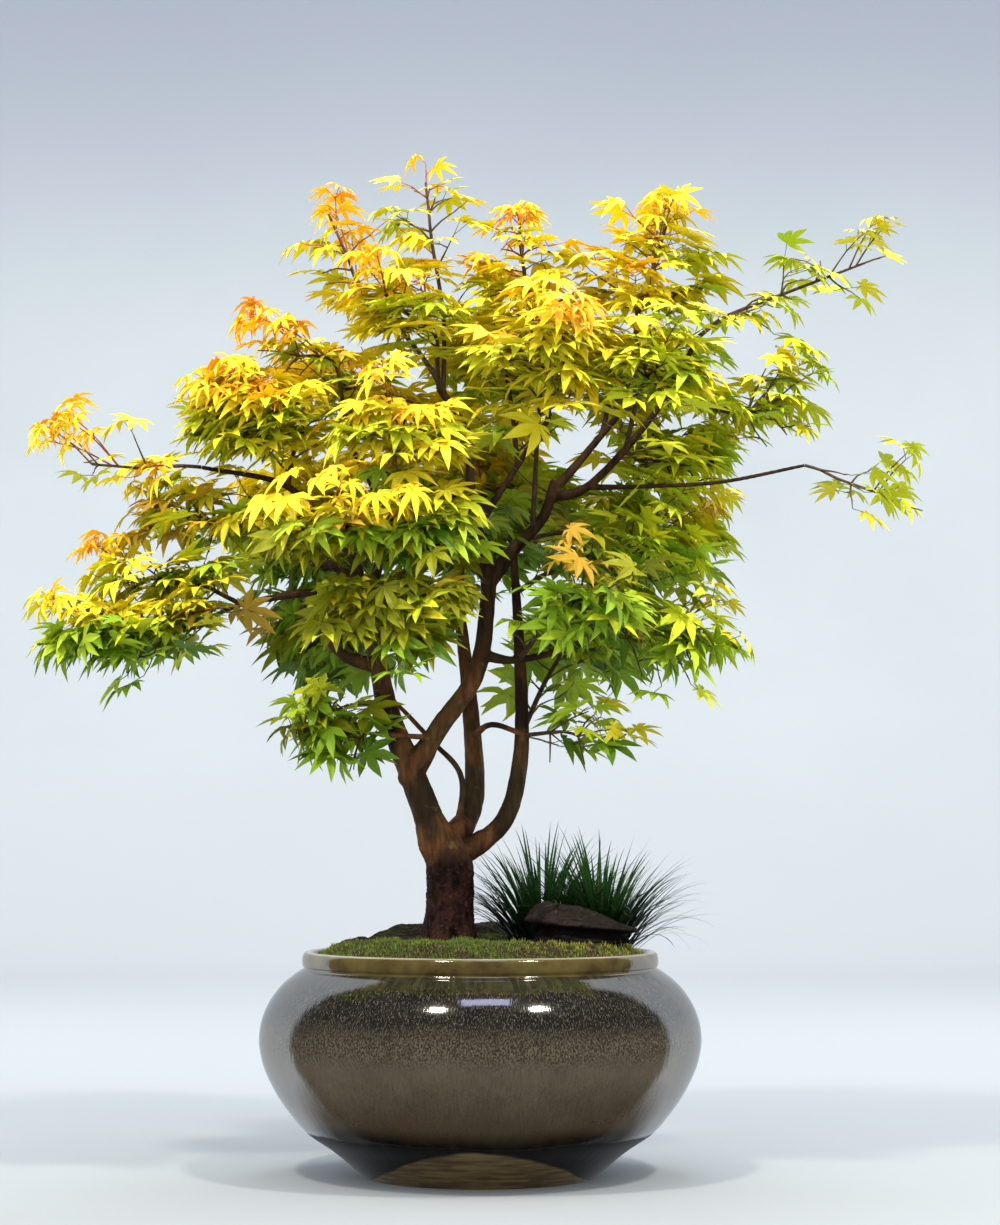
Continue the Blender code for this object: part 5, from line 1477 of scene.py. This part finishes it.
def grow_leader(rnd, name, stem, hue):
    """A long bare young shoot that stands out of the mass, with a few leaves near its tip."""
    along, across, _ = SPACES[name][2]
    foot = stem[rnd.randrange(len(stem) * 2 // 3, len(stem))]
    way = along * rnd.uniform(0.2, 1.0) + across * rnd.uniform(-0.7, 0.7)
    way = (way + UP * rnd.uniform(0.1, 0.8)).normalized()
    length = reach_in(name, foot, way) * rnd.uniform(0.86, 1.02)
    tip = foot + way * length
    tint = deal_tint(rnd, hue, 1.0, 0.9, tip)
    spray = Spray(rnd, name, tint, tint in RED_TINTS, LOOSE)
    line = smooth_path([foot, foot.lerp(tip, 0.5) + UP * (0.06 * length), tip], 8.0)
    shoots.append((line, LEADER_RADIUS, tint))
    flat = side_of(way)
    grown = 0
    for at in line[len(line) // 2::2]:
        for side in (1, -1):
            off = (way * 0.7 + flat * (side * 0.8)).normalized()
            grown += add_leaf(spray, at, off, rnd.uniform(17, 25))
    for j in range(TIP_LEAVES):
        a = math.radians(360 / TIP_LEAVES * j + rnd.uniform(-20, 20))
        off = (way * 0.6 + flat * (0.9 * math.cos(a)) + flat.cross(way) * (0.9 * math.sin(a))).normalized()
        grown += add_leaf(spray, tip, off, rnd.uniform(18, 27))
    return grown


# %% Grow all masses
def grow_mass(mass):
    """Stem, side twigs, finer shoots and leaves of one mass; gives the number of its leaves."""
    name, hue = mass.name, mass.hue
    start, radius = limb_point(mass.limb, mass.share)
    plan, twigs, end = spray_plan(name, start, mass.seed)
    rnd = random.Random(mass.seed * 101)
    stem = smooth_path(plan, 6.0)
    shoots.append((stem, min(STEM_RADIUS, 0.85 * radius), "wood"))
    grown = 0
    for node, heading in twigs:
        foot = min(stem, key=lambda p: (p - node).length)
        for turn in FANS.get(name, (0,)):
            way = Matrix.Rotation(math.radians(turn), 3, "Z") @ heading
            full = (reach_in(name, foot, way) - TIP_ROOM) * (0.55 + 0.45 * fullness(name))
            grown += grow_twig(rnd, name, foot, way, max(10.0, full), hue)
    along = SPACES[name][2][0]
    grown += grow_twig(rnd, name, end, along, max(10.0, reach_in(name, end, along) - TIP_ROOM), hue)
    grown += grow_run(rnd, name, stem, hue)
    for _ in range(LEADERS.get(name, USUAL_LEADERS)):
        grown += grow_leader(rnd, name, stem, hue)
    return grown


grown = {mass.name: grow_mass(mass) for mass in MASSES}
print("leaves of the masses:", grown)
print("leaves in all:", sum(grown.values()), "shoots:", len(shoots))

# %% [markdown]
# # Leaves into meshes
# All leaves of one tint become one piece. Their points are the unit leaf's points, turned, sized and moved by
# array sums, which takes a moment for the whole crown. The finish of a tint is one plain colour on its
# shader with a silky roughness; the folds and the droop of the leaves give the light and shade.

# %% Leaf pieces
FOLIAGE = [mass.name for mass in MASSES]


def leaf_arrays(rows):
    """Points and triangles of many placed leaves."""
    points, faces, base = [], [], 0
    for shape, heart, out, side, length in rows:
        unit, tris = leaf_shapes[shape]
        turn = np.array([out, side, out.cross(side)]) * length
        points.append(unit @ turn + np.array(heart))
        faces.append(tris + base)
        base += len(unit)
    return np.concatenate(points), np.concatenate(faces)


for tint, (colour, slot) in TINTS.items():
    finish = new_finish("leaf_" + tint, Base_Color=colour, Roughness=0.5, Specular_IOR_Level=0.22)[0]
    make_piece("leaves_" + tint, *leaf_arrays(leaves[tint]), finish, slot, FOLIAGE, smooth=False)

# %% [markdown]
# # Twigs and stalks
# Stems are woody and dark, young twigs and the stalks of golden leaves are reddish, and those of green
# leaves are brown or green. The stems have eight sides and the twigs four, and three are enough for a stalk
# less than a millimetre thick. Each kind is one piece, because thousands of separate twigs would be slow.


# %% Twig and stalk pieces
def make_tubes(name, rows, sides, slot, low, high):
    """One piece of many tubes, each with its path and radii, in a grained finish of two colours."""
    points, faces = [], []
    for path, radii in rows:
        some, strips = tube(path, radii, sides)
        faces += [tuple(len(points) + v for v in f) for f in strips]
        points += some
    finish, tree, bsdf = new_finish(name, Roughness=0.6)
    grain = flecks(tree, 300.0, 0.3, 0.7, 3.0, (1.0, 1.0, 0.3))
    feed_node(tree, bsdf, Base_Color=blend_colour(tree, grain, low, high))
    relief(tree, bsdf, grain, 0.3, 0.0002)
    make_piece(name, points, faces, finish, slot, FOLIAGE)


GREEN_TINTS = [tint for tint in TINTS if tint not in RED_TINTS]
SHOOTS = [  # name, kinds of shoot, sides, dark and light colour
    ("foliage_stems", ["wood"], 8, (0.035, 0.018, 0.010), (0.11, 0.055, 0.022)),
    ("twigs_brown", GREEN_TINTS, 4, (0.065, 0.044, 0.016), (0.15, 0.105, 0.040)),
    ("twigs_red", RED_TINTS, 4, (0.16, 0.045, 0.022), (0.36, 0.12, 0.05)),
]
STALKS = [  # name, tints of its leaves, slot, dark and light colour
    ("stalks_red", RED_TINTS, "leaf_gold", (0.40, 0.10, 0.03), (0.60, 0.24, 0.04)),
    ("stalks_green", GREEN_TINTS, "leaf_green", (0.14, 0.20, 0.02), (0.26, 0.30, 0.03)),
]
STEM_END = 1.0
TWIG_TAPER = 0.5
STALK_RADII = [0.40, 0.36]
STALK_SIDES = 3
for name, kinds, sides, low, high in SHOOTS:
    rows = [(line, eased(radius, STEM_END if kind == "wood" else TWIG_TAPER * radius, len(line)))
            for line, radius, kind in shoots if kind in kinds]
    make_tubes(name, rows, sides, "bark", low, high)
for name, tints, slot, low, high in STALKS:
    rows = [([root, heart], STALK_RADII) for root, heart, tint in stalks if tint in tints]
    make_tubes(name, rows, STALK_SIDES, slot, low, high)

# %% [markdown]
# # Close
# The last step measures the box of the dressed part, to set beside the CAD box printed at the start.
# Looks may not make the part larger.

# %% Sizes and finish
low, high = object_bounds()
print("visual box in mm:", [round(v / MM) for v in low], [round(v / MM) for v in high])
